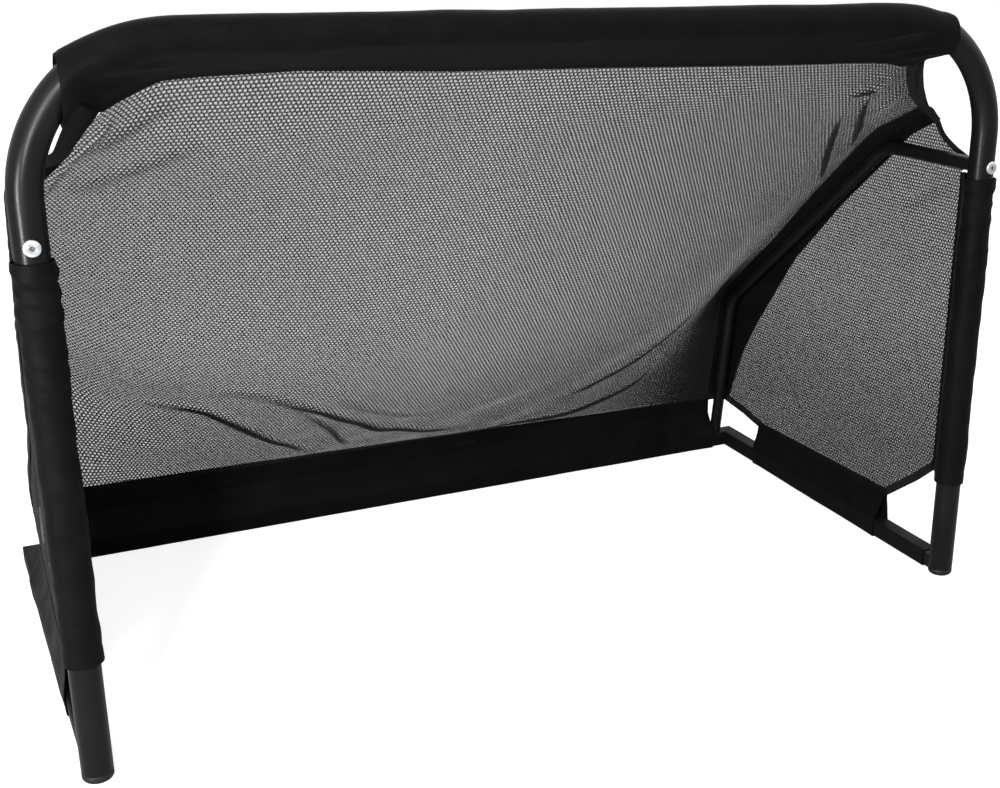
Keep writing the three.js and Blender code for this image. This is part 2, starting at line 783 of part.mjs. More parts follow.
// A flat slab bent to the hanging surface, with its thickness square to the chord.
function hangingSlab() {
  const columns = divided(
    [-SHEET_HALF_WIDTH, -BELLY_HALF_WIDTH, BELLY_HALF_WIDTH, SHEET_HALF_WIDTH],
    BELLY_COLUMN,
  );
  const rows = divided(OVER_ARMS.map((corner) => corner.place), BELLY_ROW);
  const slab = new THREE.BoxGeometry(1, 1, MESH, columns.length - 1, rows.length - 1, 1);
  matchDiagonals(slab.index.array, slab.groups.at(-1));
  const position = slab.attributes.position;
  for (let i = 0; i < position.count; i += 1) {
    const x = columns[Math.round((position.getX(i) + 0.5) * (columns.length - 1))];
    const place = rows[Math.round((0.5 - position.getY(i)) * (rows.length - 1))];
    const point = SHEET_START.clone()
      .addScaledVector(CHORD, place)
      .addScaledVector(BELOW_CHORD, rearMeshDepth(x, place) + position.getZ(i));
    position.setXYZ(i, x, point.x, point.y);
  }
  return slab;
}

function planPrism(points) {
  return prism(
    polygon(points),
    new THREE.Vector3(0, 0, -1),
    new THREE.Vector3(0, 0, CROSSBAR_HEIGHT + TUBE_OD),
    X_AXIS,
  );
}

// The corner band's inboard edge on the rear sheet, as [x, y] points from top to bottom.
function bandInboardEdge() {
  const past = SHEET_END[0] + BAND_WIDTH;
  return [
    [sideX(DIP[0]) - 22, DIP[0] + 4],
    [sideX(OVER_SHOULDER[0]) - BAND_WIDTH - 8, OVER_SHOULDER[0] - 20],
    [sideX(OVER_KNEE[0]) - BAND_WIDTH + 8, OVER_KNEE[0]],
    [sideX(OVER_KNEE[0]) - BAND_WIDTH + 12, past],
  ];
}

function topSleeveEndX(wrap) {
  return POST_X - HOOP_BEND_RADIUS + (HOOP_BEND_RADIUS - TOP_SEAM_DROP) * Math.sin(wrap);
}

function rearMesh() {
  const startY = SHEET[0][0] - MESH;
  const topX = topSleeveEndX(THREE.MathUtils.degToRad(TOP_SLEEVE_RIGHT_WRAP));
  const rightSide = [
    [topX, startY],
    ...bandInboardEdge().map(([x, y]) => [x - SEW_GAP, y - SEW_GAP]),
  ];
  const leftSide = rightSide.map(([x, y]) => [-x, y]).reverse();
  return keepWithin(hangingSlab(), planPrism([...rightSide, ...leftSide]));
}

function cornerBand() {
  const edge = bandInboardEdge();
  const past = SHEET_END[0] + BAND_WIDTH;
  const plan = [
    ...edge,
    [sideX(past) + CLOTH / 2, past],
    [sideX(DIP[0]) + CLOTH / 2, DIP[0]],
  ];
  const onSheet = keepWithin(sheetSlab(CLOTH), planPrism(plan));
  const onSide = sideSlab([...bandEdge().reverse(), ...SHEET.slice(1)], CLOTH);
  return join(onSheet, onSide);
}

function topSleeve() {
  const centreX = POST_X - HOOP_BEND_RADIUS;
  const stations = [];
  for (const [side, wrap] of [[-1, TOP_SLEEVE_LEFT_WRAP], [1, TOP_SLEEVE_RIGHT_WRAP]]) {
    for (let i = 0; i <= SLEEVE_BEND_STEPS; i += 1) {
      const share = side < 0 ? SLEEVE_BEND_STEPS - i : i;
      const angle = THREE.MathUtils.degToRad((wrap * share) / SLEEVE_BEND_STEPS);
      stations.push({
        point: new THREE.Vector3(
          side * (centreX + HOOP_BEND_RADIUS * Math.sin(angle)),
          0,
          BEND_START_Z + HOOP_BEND_RADIUS * Math.cos(angle),
        ),
        tangent: new THREE.Vector3(Math.cos(angle), 0, -side * Math.sin(angle)),
      });
    }
  }
  return sweep(teardropSection(TOP_SEAM_BACK, -TOP_SEAM_DROP), new PlanarPath(stations, Y_AXIS));
}

function postSleeve() {
  return prism(
    teardropSection(POST_SEAM_BACK, POST_SEAM_OUT),
    new THREE.Vector3(POST_X, 0, POST_SLEEVE_TOP),
    new THREE.Vector3(POST_X, 0, POST_SLEEVE_BOTTOM),
    Y_AXIS,
  );
}

function rearSleeve() {
  return prism(
    railLoopSection(REAR_SEAM_BACK, REAR_SEAM_HEIGHT, REAR_HEM_HEIGHT),
    new THREE.Vector3(-REAR_SLEEVE_HALF_LENGTH, BASE_DEPTH, 0),
    new THREE.Vector3(REAR_SLEEVE_HALF_LENGTH, BASE_DEPTH, 0),
    Y_AXIS,
  );
}

// A side sleeve's seam follows the side panel, so the ridge is moved in or out with depth.
function sideSleeve() {
  const sleeve = prism(
    railLoopSection(0, SIDE_SEAM_HEIGHT - SEAM_DEPTH, SEAM_DEPTH),
    new THREE.Vector3(POST_X, SIDE_SLEEVE_REAR, 0),
    new THREE.Vector3(POST_X, SIDE_SLEEVE_FRONT, 0),
    X_AXIS,
    SIDE_SLEEVE_STEPS,
  );
  const position = sleeve.attributes.position;
  for (let i = 0; i < position.count; i += 1) {
    if (position.getZ(i) > RAIL_TOP + 2 * SLIP) {
      position.setX(i, position.getX(i) + sideX(position.getY(i)) - POST_X);
    }
  }
  return sleeve;
}

// A rolled binding along an edge of the net, as a round bead through its corners.
function bindingBead(corners) {
  const section = polygon(circlePoints(BINDING_DIAMETER / 2, 8));
  const beads = corners.slice(1).map((corner, i) => {
    const tangent = corner.clone().sub(corners[i]).normalize();
    const normal = new THREE.Vector3().crossVectors(tangent, Z_AXIS).normalize();
    return prism(section, corners[i], corner, normal);
  });
  const knuckles = corners
    .slice(1, -1)
    .map((corner) =>
      new THREE.SphereGeometry(BINDING_DIAMETER / 2, 8, 6).translate(corner.x, corner.y, corner.z),
    );
  return [...beads, ...knuckles].reduce((all, bead) => (all ? join(all, bead) : bead), null);
}

const BINDING_OFFSET = BINDING_DIAMETER / 2 + SEW_GAP;

// Moves an edge sideways in its own plane, to the side that outward points to.
function offsetEdge(edge, planeNormal, outward) {
  const along = edge[1].clone().sub(edge[0]).normalize();
  const shift = along.cross(planeNormal).normalize();
  shift.multiplyScalar(Math.sign(shift.dot(outward)) * BINDING_OFFSET);
  return edge.map((point) => point.clone().add(shift));
}

// Along the net's edge at the hoop's bend: from the top sleeve to the band, then to the post.
function topCornerBinding(wrapDegrees) {
  const topX = topSleeveEndX(THREE.MathUtils.degToRad(wrapDegrees));
  const [bandX, bandY] = bandInboardEdge()[0];
  const fall = (SHEET[0][1] - DIP[1]) / (DIP[0] - SHEET[0][0]);
  const sheetNormal = new THREE.Vector3(0, fall, 1).normalize();
  const bandZ = DIP[1] - fall * Math.min(bandY - DIP[0], 0);
  const sheetEdge = [
    new THREE.Vector3(topX + BINDING_DIAMETER, SHEET[0][0], SHEET[0][1]),
    new THREE.Vector3(bandX, bandY, bandZ),
  ];
  const sideEdge = sideTopEdge().map(([y, z]) => new THREE.Vector3(sideX(y), y, z));
  const corner = new THREE.Vector3(
    sideX(DIP[0]) + CLOTH,
    DIP[0] - 2 * BINDING_OFFSET,
    DIP[1] + BINDING_OFFSET,
  );
  return bindingBead([
    ...offsetEdge(sheetEdge, sheetNormal, X_AXIS),
    corner,
    ...offsetEdge(sideEdge, X_AXIS, Z_AXIS).reverse(),
  ]);
}

// Along the net's lower front edge: from the post sleeve's foot to the side sleeve's front.
function frontCornerBinding() {
  const start = [POST_SEAM_BACK + SEAM_DEPTH + SEW_GAP, POST_SLEEVE_BOTTOM - SEW_GAP];
  const end = [SIDE_SLEEVE_FRONT, SIDE_SEAM_HEIGHT];
  const edge = [start, end].map(([y, z]) => new THREE.Vector3(sideX(y), y, z));
  return bindingBead(offsetEdge(edge, X_AXIS, Y_AXIS.clone().negate()));
}

// Along the net's lower rear edge: from the side sleeve's end to the rear sleeve's end.
function rearCornerBinding() {
  const bottom = SHEET_END[1] - BINDING_OFFSET;
  return bindingBead([
    new THREE.Vector3(
      sideX(SIDE_SLEEVE_REAR),
      SIDE_SLEEVE_REAR + BINDING_OFFSET,
      SIDE_SEAM_HEIGHT - BINDING_OFFSET,
    ),
    new THREE.Vector3(sideX(SHEET_END[0]), SHEET_END[0], bottom),
    new THREE.Vector3(REAR_SLEEVE_HALF_LENGTH + BINDING_OFFSET, SHEET_END[0], bottom),
  ]);
}

function addNet() {
  addPiece("top_sleeve", topSleeve(), oxfordCloth);
  addPair("post_sleeve", postSleeve(), oxfordCloth);
  addPiece("rear_sleeve", rearSleeve(), oxfordCloth);
  addPair("side_sleeve", sideSleeve(), oxfordCloth);
  addPiece("rear_mesh", rearMesh(), knittedMesh);
  addPair("side_mesh", sideMesh(), knittedMesh);
  addPair("corner_band", cornerBand(), oxfordCloth);
  addPiece("right_top_binding", topCornerBinding(TOP_SLEEVE_RIGHT_WRAP), bindingTape);
  addPiece("left_top_binding", mirrored(topCornerBinding(TOP_SLEEVE_LEFT_WRAP)), bindingTape);
  addPair("front_binding", frontCornerBinding(), bindingTape);
  addPair("rear_binding", rearCornerBinding(), bindingTape);
}

addHoop();
addBase();
addArms();
addNet();

// The origin is the middle of the footprint, on the floor.
const bounds = new THREE.Box3().setFromObject(goal);
const middle = bounds.getCenter(new THREE.Vector3());
goal.position.set(-middle.x, -middle.y, -bounds.min.z);

export default goal;
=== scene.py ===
"""Freestanding hockey goal: bent tube hoop, square tube base, bent arms and a sleeved net.

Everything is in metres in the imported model's frame: +X is to the right seen from the front,
+Y is towards the back, +Z is up and the floor is z = 0. Depths are measured from the hoop's
plane, and HOOP_Y moves them to the frame.
"""

import logging
import math
from collections.abc import Callable, Sequence
from dataclasses import dataclass, field
from enum import Enum

import bpy
import numpy as np
from mathutils import Euler, Matrix, Vector


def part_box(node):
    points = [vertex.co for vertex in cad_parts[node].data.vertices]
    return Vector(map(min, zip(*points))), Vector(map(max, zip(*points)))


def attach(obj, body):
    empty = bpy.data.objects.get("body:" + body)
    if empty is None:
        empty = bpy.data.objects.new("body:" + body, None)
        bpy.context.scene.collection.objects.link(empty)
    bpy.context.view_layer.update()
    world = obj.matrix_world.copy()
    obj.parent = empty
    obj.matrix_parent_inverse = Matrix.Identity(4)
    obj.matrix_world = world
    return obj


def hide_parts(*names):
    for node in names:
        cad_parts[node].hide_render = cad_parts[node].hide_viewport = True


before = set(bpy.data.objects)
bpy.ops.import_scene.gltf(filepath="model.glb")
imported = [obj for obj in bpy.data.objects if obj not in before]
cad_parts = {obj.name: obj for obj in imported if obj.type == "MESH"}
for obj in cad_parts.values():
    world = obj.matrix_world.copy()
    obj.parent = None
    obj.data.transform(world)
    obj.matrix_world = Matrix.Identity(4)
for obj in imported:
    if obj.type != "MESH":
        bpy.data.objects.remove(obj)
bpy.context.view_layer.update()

LOG = logging.getLogger("goal")
Socket = bpy.types.NodeSocket
Material = bpy.types.Material
Piece = bpy.types.Object
Line = np.ndarray
Place = tuple[float, float, float]
Pair = tuple[float, float]
Value = Socket | float | tuple
Inputs = Sequence[Value] | dict[str | int, Value]

SOFT_ENDS = {"interpolation_type": "SMOOTHSTEP"}
COLOURS = {"data_type": "RGBA"}

HOOP_Y = (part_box("crossbar")[0].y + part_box("crossbar")[1].y) / 2
POST_X = (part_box("right_foot_cap")[0].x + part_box("right_foot_cap")[1].x) / 2


class Slot(Enum):
    """The material slots."""

    POWDER = "powder_coat"
    PLASTIC = "foot_plastic"
    ZINC = "zinc_plate"
    CLOTH = "oxford_cloth"
    MESH = "knitted_mesh"
    TAPE = "binding_tape"


class Side(Enum):
    """A side of the goal, with the sign of its x."""

    RIGHT = 1
    LEFT = -1

    @property
    def label(self) -> str:
        """The side's name as the frame's nodes have it."""
        return self.name.lower()


# ---- Materials ----


def srgb(code: str) -> tuple[float, float, float, float]:
    """Turns an sRGB hex colour into linear values with alpha 1.

    Args:
        code: The colour as # and six digits.

    Returns:
        The linear colour and its alpha.
    """
    parts = [int(code[i : i + 2], 16) / 255 for i in (1, 3, 5)]
    linear = [c / 12.92 if c <= 0.04045 else ((c + 0.055) / 1.055) ** 2.4 for c in parts]
    return (*linear, 1.0)


def add_node(
    tree: bpy.types.NodeTree,
    kind: str,
    inputs: Inputs = (),
    output: str | int = 0,
    **settings: str,
) -> Socket | None:
    """Adds a node to a tree, with its settings, values and links.

    Args:
        tree: The node tree.
        kind: The node's type, as it is named after ShaderNode.
        inputs: Its inputs' values or the outputs that feed them, in order or by name or number.
        output: The wanted output's name or number.
        settings: The node's own properties.

    Returns:
        The wanted output, or None from a node that has no outputs.
    """
    node = tree.nodes.new(f"ShaderNode{kind}")
    for key, value in settings.items():
        setattr(node, key, value)
    pairs = inputs.items() if isinstance(inputs, dict) else enumerate(inputs)
    for key, value in pairs:
        if isinstance(value, Socket):
            tree.links.new(value, node.inputs[key])
        else:
            node.inputs[key].default_value = value
    return node.outputs[output] if node.outputs else None


class Finish:
    """A material under construction, with the patterns that feed its surface."""

    def __init__(self, name: str) -> None:
        """Makes an empty material of that name.

        Args:
            name: The piece's name.
        """
        self.material = bpy.data.materials.new(name)
        self.material.use_nodes = True
        self.tree = self.material.node_tree
        self.tree.nodes.clear()

    def add(self, kind: str, inputs: Inputs = (), output: str | int = 0, **settings: str) -> Socket:
        """Adds a node and gives its wanted output."""
        return add_node(self.tree, kind, inputs, output, **settings)

    def dressed(self, **values: Value) -> Material:
        """Feeds a Principled surface's inputs, with _ for a space in their names.

        Args:
            values: The inputs' values, or the outputs that feed them.

        Returns:
            The finished material.
        """
        inputs = {key.replace("_", " "): value for key, value in values.items()}
        self.add("OutputMaterial", [self.add("BsdfPrincipled", inputs)])
        return self.material


@dataclass(frozen=True)
class PowderCoat:
    """Black powder coat baked on steel tube: a satin gloss with orange peel and faint handling marks."""

    name: str = "black_powder_coat_on_steel"
    colour: str = "#090909"
    worn: str = "#101011"
    roughness: float = 0.31
    specular: float = 0.14

    def make(self) -> Material:
        """Builds the material.

        Returns:
            The material.
        """
        finish = Finish(self.name)
        place = finish.add("TexCoord", output="Object")
        peel = finish.add("TexNoise", {"Vector": place, "Scale": 420.0, "Detail": 3.0})
        cloud = finish.add("TexNoise", {"Vector": place, "Scale": 14.0, "Detail": 4.0})
        dust = finish.add("TexNoise", {"Vector": place, "Scale": 900.0, "Detail": 1.0})
        specks = finish.add("MapRange", [dust, 0.68, 0.74, 0.0, 1.0], **SOFT_ENDS)
        smooth = self.roughness - 0.04
        rough = self.roughness + 0.08
        cloudy = finish.add("MapRange", [cloud, 0.35, 0.7, smooth, rough], **SOFT_ENDS)
        marks = finish.add("Math", [specks, 0.08], operation="MULTIPLY")
        wear = finish.add("Math", [cloud, 0.8], operation="MULTIPLY")
        return finish.dressed(
            Base_Color=finish.add("Mix", {0: wear, 6: srgb(self.colour), 7: srgb(self.worn)}, 2, **COLOURS),
            Roughness=finish.add("Math", [cloudy, marks], operation="ADD"),
            Specular_IOR_Level=self.specular,
            Normal=finish.add("Bump", {"Height": peel, "Distance": 0.00012, "Strength": 0.5}),
        )


@dataclass(frozen=True)
class MouldedPlastic:
    """Injection-moulded black polypropylene: a dull even skin with fine mould texture and floor scuffs."""

    colour: str = "#101011"
    scuffed: str = "#1c1c1c"

    def make(self) -> Material:
        """Builds the material.

        Returns:
            The material.
        """
        finish = Finish("black_moulded_polypropylene")
        place = finish.add("TexCoord", output="Object")
        grain = finish.add("TexNoise", {"Vector": place, "Scale": 1500.0})
        rubs = finish.add("TexNoise", {"Vector": place, "Scale": 160.0, "Detail": 5.0})
        scuff = finish.add("MapRange", [rubs, 0.52, 0.7, 0.0, 1.0], **SOFT_ENDS)
        colours = {0: scuff, 6: srgb(self.colour), 7: srgb(self.scuffed)}
        return finish.dressed(
            Base_Color=finish.add("Mix", colours, 2, **COLOURS),
            Roughness=finish.add("MapRange", [grain, 0.3, 0.7, 0.42, 0.58], **SOFT_ENDS),
            Specular_IOR_Level=0.22,
            Normal=finish.add("Bump", {"Height": grain, "Distance": 0.00006, "Strength": 0.6}),
        )


@dataclass(frozen=True)
class ZincPlate:
    """Bright zinc plate on a turned steel bolt: pale metal with cloudy passivation and fine grain."""

    colour: str = "#dfe1e3"
    clouded: str = "#b4b8bb"

    def make(self) -> Material:
        """Builds the material.

        Returns:
            The material.
        """
        finish = Finish("bright_zinc_plated_steel")
        place = finish.add("TexCoord", output="Object")
        cloud = finish.add("TexNoise", {"Vector": place, "Scale": 300.0, "Detail": 4.0})
        fine = finish.add("TexNoise", {"Vector": place, "Scale": 2600.0})
        colours = {0: cloud, 6: srgb(self.colour), 7: srgb(self.clouded)}
        return finish.dressed(
            Base_Color=finish.add("Mix", colours, 2, **COLOURS),
            Metallic=1.0,
            Roughness=finish.add("MapRange", [cloud, 0.3, 0.7, 0.24, 0.4], **SOFT_ENDS),
            Normal=finish.add("Bump", {"Height": fine, "Distance": 0.00003, "Strength": 0.5}),
        )


@dataclass(frozen=True)
class SocketShade:
    """Dull dark steel in the bolts' sockets: its darker colour is painted shade in the recess, mottled by
    noise.
    """

    colour: str = "#77787a"
    dirt: str = "#4a4b4d"

    def make(self) -> Material:
        """Builds the material.

        Returns:
            The material.
        """
        finish = Finish("painted_shade_in_socket")
        place = finish.add("TexCoord", output="Object")
        cloud = finish.add("TexNoise", {"Vector": place, "Scale": 900.0, "Detail": 3.0})
        # Both colours are darker than the zinc: painted shade for the socket's recess, mottled by noise.
        colours = {0: cloud, 6: srgb(self.colour), 7: srgb(self.dirt)}
        return finish.dressed(
            Base_Color=finish.add("Mix", colours, 2, **COLOURS),
            Roughness=0.7,
            Metallic=0.6,
            Normal=finish.add("Bump", {"Height": cloud, "Distance": 0.00005, "Strength": 0.5}),
        )


@dataclass(frozen=True)
class OxfordCloth:
    """Coated polyester oxford: a plain basket weave, dull black with a soft sheen and rubbed slubs."""

    colour: str = "#070707"
    rubbed: str = "#0d0d0e"
    yarn: float = 0.0009
    sheen: float = 0.02

    def make(self) -> Material:
        """Builds the material.

        Returns:
            The material.
        """
        finish = Finish("black_polyester_oxford_weave")
        place = finish.add("UVMap", uv_map="UVMap")
        waves = []
        for axis in ("X", "Y"):
            reach = finish.add("SeparateXYZ", [place], axis)
            angle = finish.add("Math", [reach, 2 * math.pi / self.yarn], operation="MULTIPLY")
            waves.append(finish.add("Math", [angle], operation="SINE"))
        weave = finish.add("Math", waves, operation="MULTIPLY")
        drawn = finish.add("VectorMath", [place, (60.0, 900.0, 1.0)], operation="MULTIPLY")
        slub = finish.add("TexNoise", {"Vector": drawn, "Scale": 1.0})
        cloud = finish.add("TexNoise", {"Vector": place, "Scale": 22.0, "Detail": 4.0})
        half_cloud = finish.add("Math", [cloud, 0.5], operation="MULTIPLY")
        tone = finish.add("Math", [slub, 0.5, half_cloud], operation="MULTIPLY_ADD")
        worn = finish.add("MapRange", [tone, 0.35, 0.68, 0.0, 1.0], **SOFT_ENDS)
        relief = finish.add("Math", [weave, 0.5, slub], operation="MULTIPLY_ADD")
        colours = {0: worn, 6: srgb(self.colour), 7: srgb(self.rubbed)}
        return finish.dressed(
            Base_Color=finish.add("Mix", colours, 2, **COLOURS),
            Roughness=finish.add("MapRange", [cloud, 0.3, 0.7, 0.46, 0.60], **SOFT_ENDS),
            Specular_IOR_Level=0.032,
            Sheen_Weight=self.sheen,
            Sheen_Roughness=0.45,
            Sheen_Tint=srgb("#b8b8c0"),
            Normal=finish.add("Bump", {"Height": relief, "Distance": 0.0001, "Strength": 0.6}),
        )


@dataclass(frozen=True)
class WovenTape:
    """Black grosgrain edge tape: dull, with ribs across its length and a little fuzz."""

    colour: str = "#090909"
    worn: str = "#111112"
    rib: float = 0.0014

    def make(self) -> Material:
        """Builds the material.

        Returns:
            The material.
        """
        finish = Finish("black_grosgrain_binding_tape")
        place = finish.add("UVMap", uv_map="UVMap")
        reach = finish.add("SeparateXYZ", [place], "X")
        angle = finish.add("Math", [reach, 2 * math.pi / self.rib], operation="MULTIPLY")
        ribs = finish.add("Math", [angle], operation="SINE")
        fuzz = finish.add("TexNoise", {"Vector": place, "Scale": 1400.0})
        relief = finish.add("Math", [ribs, 0.5, fuzz], operation="MULTIPLY_ADD")
        colours = {0: fuzz, 6: srgb(self.colour), 7: srgb(self.worn)}
        return finish.dressed(
            Base_Color=finish.add("Mix", colours, 2, **COLOURS),
            Roughness=0.7,
            Specular_IOR_Level=0.07,
            Sheen_Weight=0.03,
            Normal=finish.add("Bump", {"Height": relief, "Distance": 0.00012, "Strength": 0.6}),
        )


@dataclass(frozen=True)
class KnittedMesh:
    """Warp-knitted polyester mesh: round holes in a half-drop lattice between dull black yarns.

    The yarns are hairy and not quite opaque, and the cloth's bunch attribute closes the holes.
    """

    name: str
    hole: float
    hairs: float = 0.425
    pinholes: float = 0.533
    pitch: Pair = (0.0053, 0.00918)
    soft: float = 0.0004
    closing: float = 0.0012
    colour: str = "#0b0b0c"
    rubbed: str = "#161617"

    def nearest(self, finish: Finish, place: Socket, shift: Place) -> Socket:
        """The distance in metres to the nearest hole of one of the two lattices.

        Args:
            finish: The material that the nodes go into.
            place: The place on the cloth.
            shift: The lattice's shift, in pitches.

        Returns:
            The distance.
        """
        value = finish.add("VectorMath", [place, (*self.pitch, 1.0)], operation="DIVIDE")
        value = finish.add("VectorMath", [value, shift], operation="ADD")
        value = finish.add("VectorMath", [value], operation="FRACTION")
        value = finish.add("VectorMath", [value, (0.5, 0.5, 0.0)], operation="SUBTRACT")
        value = finish.add("VectorMath", [value, (*self.pitch, 0.0)], operation="MULTIPLY")
        return finish.add("VectorMath", [value], "Value", operation="LENGTH")

    def make(self) -> Material:
        """Builds the material.

        Returns:
            The material.
        """
        finish = Finish(self.name)
        flat = finish.add("UVMap", uv_map="UVMap")
        wander = finish.add("TexNoise", {"Vector": flat, "Scale": 60.0}, "Color")
        drift = finish.add("VectorMath", [wander, (0.5, 0.5, 0.5)], operation="SUBTRACT")
        pulled = finish.add("VectorMath", [drift, (0.0012, 0.0016, 0.0)], operation="MULTIPLY")
        place = finish.add("VectorMath", [flat, pulled], operation="ADD")
        holes = [self.nearest(finish, place, shift) for shift in ((0.0, 0.0, 0.0), (0.5, 0.5, 0.0))]
        distance = finish.add("Math", holes, operation="MINIMUM")
        bunch = finish.add("Attribute", output="Fac", attribute_name="bunch")
        radius = finish.add("Math", [bunch, -self.closing, self.hole], operation="MULTIPLY_ADD")
        edge = finish.add("Math", [distance, radius], operation="SUBTRACT")
        yarn = finish.add("MapRange", [edge, -self.soft, self.soft, 0.0, 1.0], **SOFT_ENDS)
        crown = finish.add("MapRange", [edge, 0.0, 0.0012, 0.0, 1.0], **SOFT_ENDS)
        fuzz = finish.add("TexNoise", {"Vector": flat, "Scale": 1800.0})
        hair = finish.add("TexNoise", {"Vector": flat, "Scale": 3600.0})
        openness = [yarn, self.hairs - self.pinholes, self.pinholes]
        level = finish.add("Math", openness, operation="MULTIPLY_ADD")
        heaped = finish.add("MapRange", [bunch, 0.6, 1.4, 0.0, 0.20], **SOFT_ENDS)
        level = finish.add("Math", [level, heaped], operation="SUBTRACT")
        fibre = finish.add("Math", [hair, level], operation="SUBTRACT")
        worn = finish.add("Math", [fuzz, crown], operation="MULTIPLY")
        relief = finish.add("Math", [fuzz, 0.3, crown], operation="MULTIPLY_ADD")
        colours = {0: worn, 6: srgb(self.colour), 7: srgb(self.rubbed)}
        return finish.dressed(
            Base_Color=finish.add("Mix", colours, 2, **COLOURS),
            Roughness=0.7,
            Specular_IOR_Level=0.08,
            Sheen_Weight=0.03,
            Alpha=finish.add("MapRange", [fibre, -0.05, 0.05, 0.0, 1.0], **SOFT_ENDS),
            Normal=finish.add("Bump", {"Height": relief, "Distance": 0.0004, "Strength": 0.8}),
        )


# ---- Modelling helpers ----


def deselect_all() -> None:
    """Leaves no object selected."""
    bpy.ops.object.select_all(action="DESELECT")


def make_active(piece: Piece) -> None:
    """Leaves the piece active, and alone selected.

    Args:
        piece: The piece.
    """
    deselect_all()
    piece.select_set(True)
    bpy.context.view_layer.objects.active = piece


def modifier(piece: Piece, kind: str, **settings) -> None:
    """Adds a modifier to the piece and applies it.

    Args:
        piece: The piece.
        kind: The modifier's type.
        settings: The modifier's own properties.
    """
    bpy.context.view_layer.objects.active = piece
    made = piece.modifiers.new(kind.lower(), kind)
    for key, value in settings.items():
        setattr(made, key, value)
    bpy.ops.object.modifier_apply(modifier=made.name)


def hollow(piece: Piece, wall: float) -> None:
    """Gives a tube's surface its wall, inwards."""
    modifier(piece, "SOLIDIFY", thickness=wall, offset=-1.0, use_even_offset=True)


def thicken(piece: Piece, thickness: float) -> None:
    """Gives a cloth surface its thickness, half to each side."""
    modifier(piece, "SOLIDIFY", thickness=thickness, offset=0.0)


def clean(piece: Piece) -> None:
    """Merges doubles and turns the faces outward.

    Args:
        piece: The piece.
    """
    make_active(piece)
    bpy.ops.object.mode_set(mode="EDIT")
    bpy.ops.mesh.select_all(action="SELECT")
    bpy.ops.mesh.remove_doubles(threshold=1e-6)
    bpy.ops.mesh.normals_make_consistent(inside=False)
    bpy.ops.object.mode_set(mode="OBJECT")


def settle(
    piece: Piece,
    name: str,
    material: Material,
    slot: Slot,
    stands_for: Sequence[str] = (),
    smooth_to: float = 40.0,
) -> Piece:
    """Bakes a piece's place into its mesh, shades it and gives it to the frame.

    Args:
        piece: The modelled object.
        name: Its name in the scene.
        material: Its finish.
        slot: The slot that the finish belongs to; not used.
        stands_for: The CAD nodes that it replaces.
        smooth_to: Edges up to this many degrees are shaded smooth.

    Returns:
        The piece.
    """
    make_active(piece)
    bpy.ops.object.transform_apply(location=True, rotation=True, scale=True)
    bpy.ops.object.shade_smooth_by_angle(angle=math.radians(smooth_to))
    piece.name = name
    piece.data.name = name
    piece.data.materials.clear()
    piece.data.materials.append(material)
    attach(piece, "root")
    if stands_for:
        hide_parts(*stands_for)
    LOG.info("%s: %d faces", name, len(piece.data.polygons))
    return piece


@dataclass(frozen=True)
class Run:
    """A straight stretch of a swept tube."""

    move: Place

    def sweep(self) -> None:
        """Extrudes the selected ring."""
        bpy.ops.mesh.extrude_region_move(TRANSFORM_OT_translate={"value": self.move})


@dataclass(frozen=True)
class Bend:
    """A bent stretch of a swept tube."""

    centre: Place
    axis: Place
    degrees: float
    steps: int

    def sweep(self) -> None:
        """Spins the selected ring."""
        angle = math.radians(self.degrees)
        bpy.ops.mesh.spin(steps=self.steps, angle=angle, center=self.centre, axis=self.axis)


def swept_tube(
    start: Place,
    turn: Place,
    radius: float,
    wall: float,
    stretches: Sequence[Run | Bend],
    around: int = 56,
) -> Piece:
    """Sweeps a ring along straight and bent stretches and gives it a wall inwards.

    Args:
        start: The ring's centre.
        turn: The ring's turn about the axes, in radians.
        radius: The tube's outer radius.
        wall: Its wall.
        stretches: The straight and bent stretches, in order.
        around: How many points its section has.

    Returns:
        The tube.
    """
    deselect_all()
    bpy.ops.mesh.primitive_circle_add(vertices=around, radius=radius, location=start, rotation=turn)
    piece = bpy.context.active_object
    bpy.ops.object.transform_apply(location=True, rotation=True, scale=True)
    bpy.ops.object.mode_set(mode="EDIT")
    bpy.ops.mesh.select_mode(type="VERT")
    bpy.ops.mesh.select_all(action="SELECT")
    for stretch in stretches:
        stretch.sweep()
    bpy.ops.object.mode_set(mode="OBJECT")
    clean(piece)
    hollow(piece, wall)
    return piece


def turned(profile: Sequence[Pair], around: int = 56) -> Piece:
    """Turns a closed profile of (radius, height) pairs about the z axis, from axis to axis.

    Args:
        profile: The pairs, from the lower side of the piece to the upper.
        around: How many points its section has.

    Returns:
        The turned piece.
    """
    deselect_all()
    first_radius, first_height = profile[0]
    bpy.ops.mesh.primitive_circle_add(
        vertices=around, radius=first_radius, location=(0, 0, first_height), fill_type="TRIFAN"
    )
    piece = bpy.context.active_object
    bpy.ops.object.transform_apply(location=True, rotation=False, scale=False)
    bpy.ops.object.mode_set(mode="EDIT")
    bpy.ops.mesh.select_all(action="SELECT")
    bpy.ops.mesh.region_to_loop()
    for (radius, height), (next_radius, next_height) in zip(profile[:-1], profile[1:]):
        Run((0, 0, next_height - height)).sweep()
        scale = next_radius / radius
        centre = (0, 0, next_height)
        bpy.ops.transform.resize(value=(scale, scale, 1), center_override=centre)
    bpy.ops.mesh.edge_face_add()
    bpy.ops.object.mode_set(mode="OBJECT")
    clean(piece)
    return piece


def carve(piece: Piece, tool: Piece) -> None:
    """Cuts the tool out of the piece and removes the tool."""
    modifier(piece, "BOOLEAN", object=tool, operation="DIFFERENCE", solver="EXACT")
    bpy.data.objects.remove(tool)


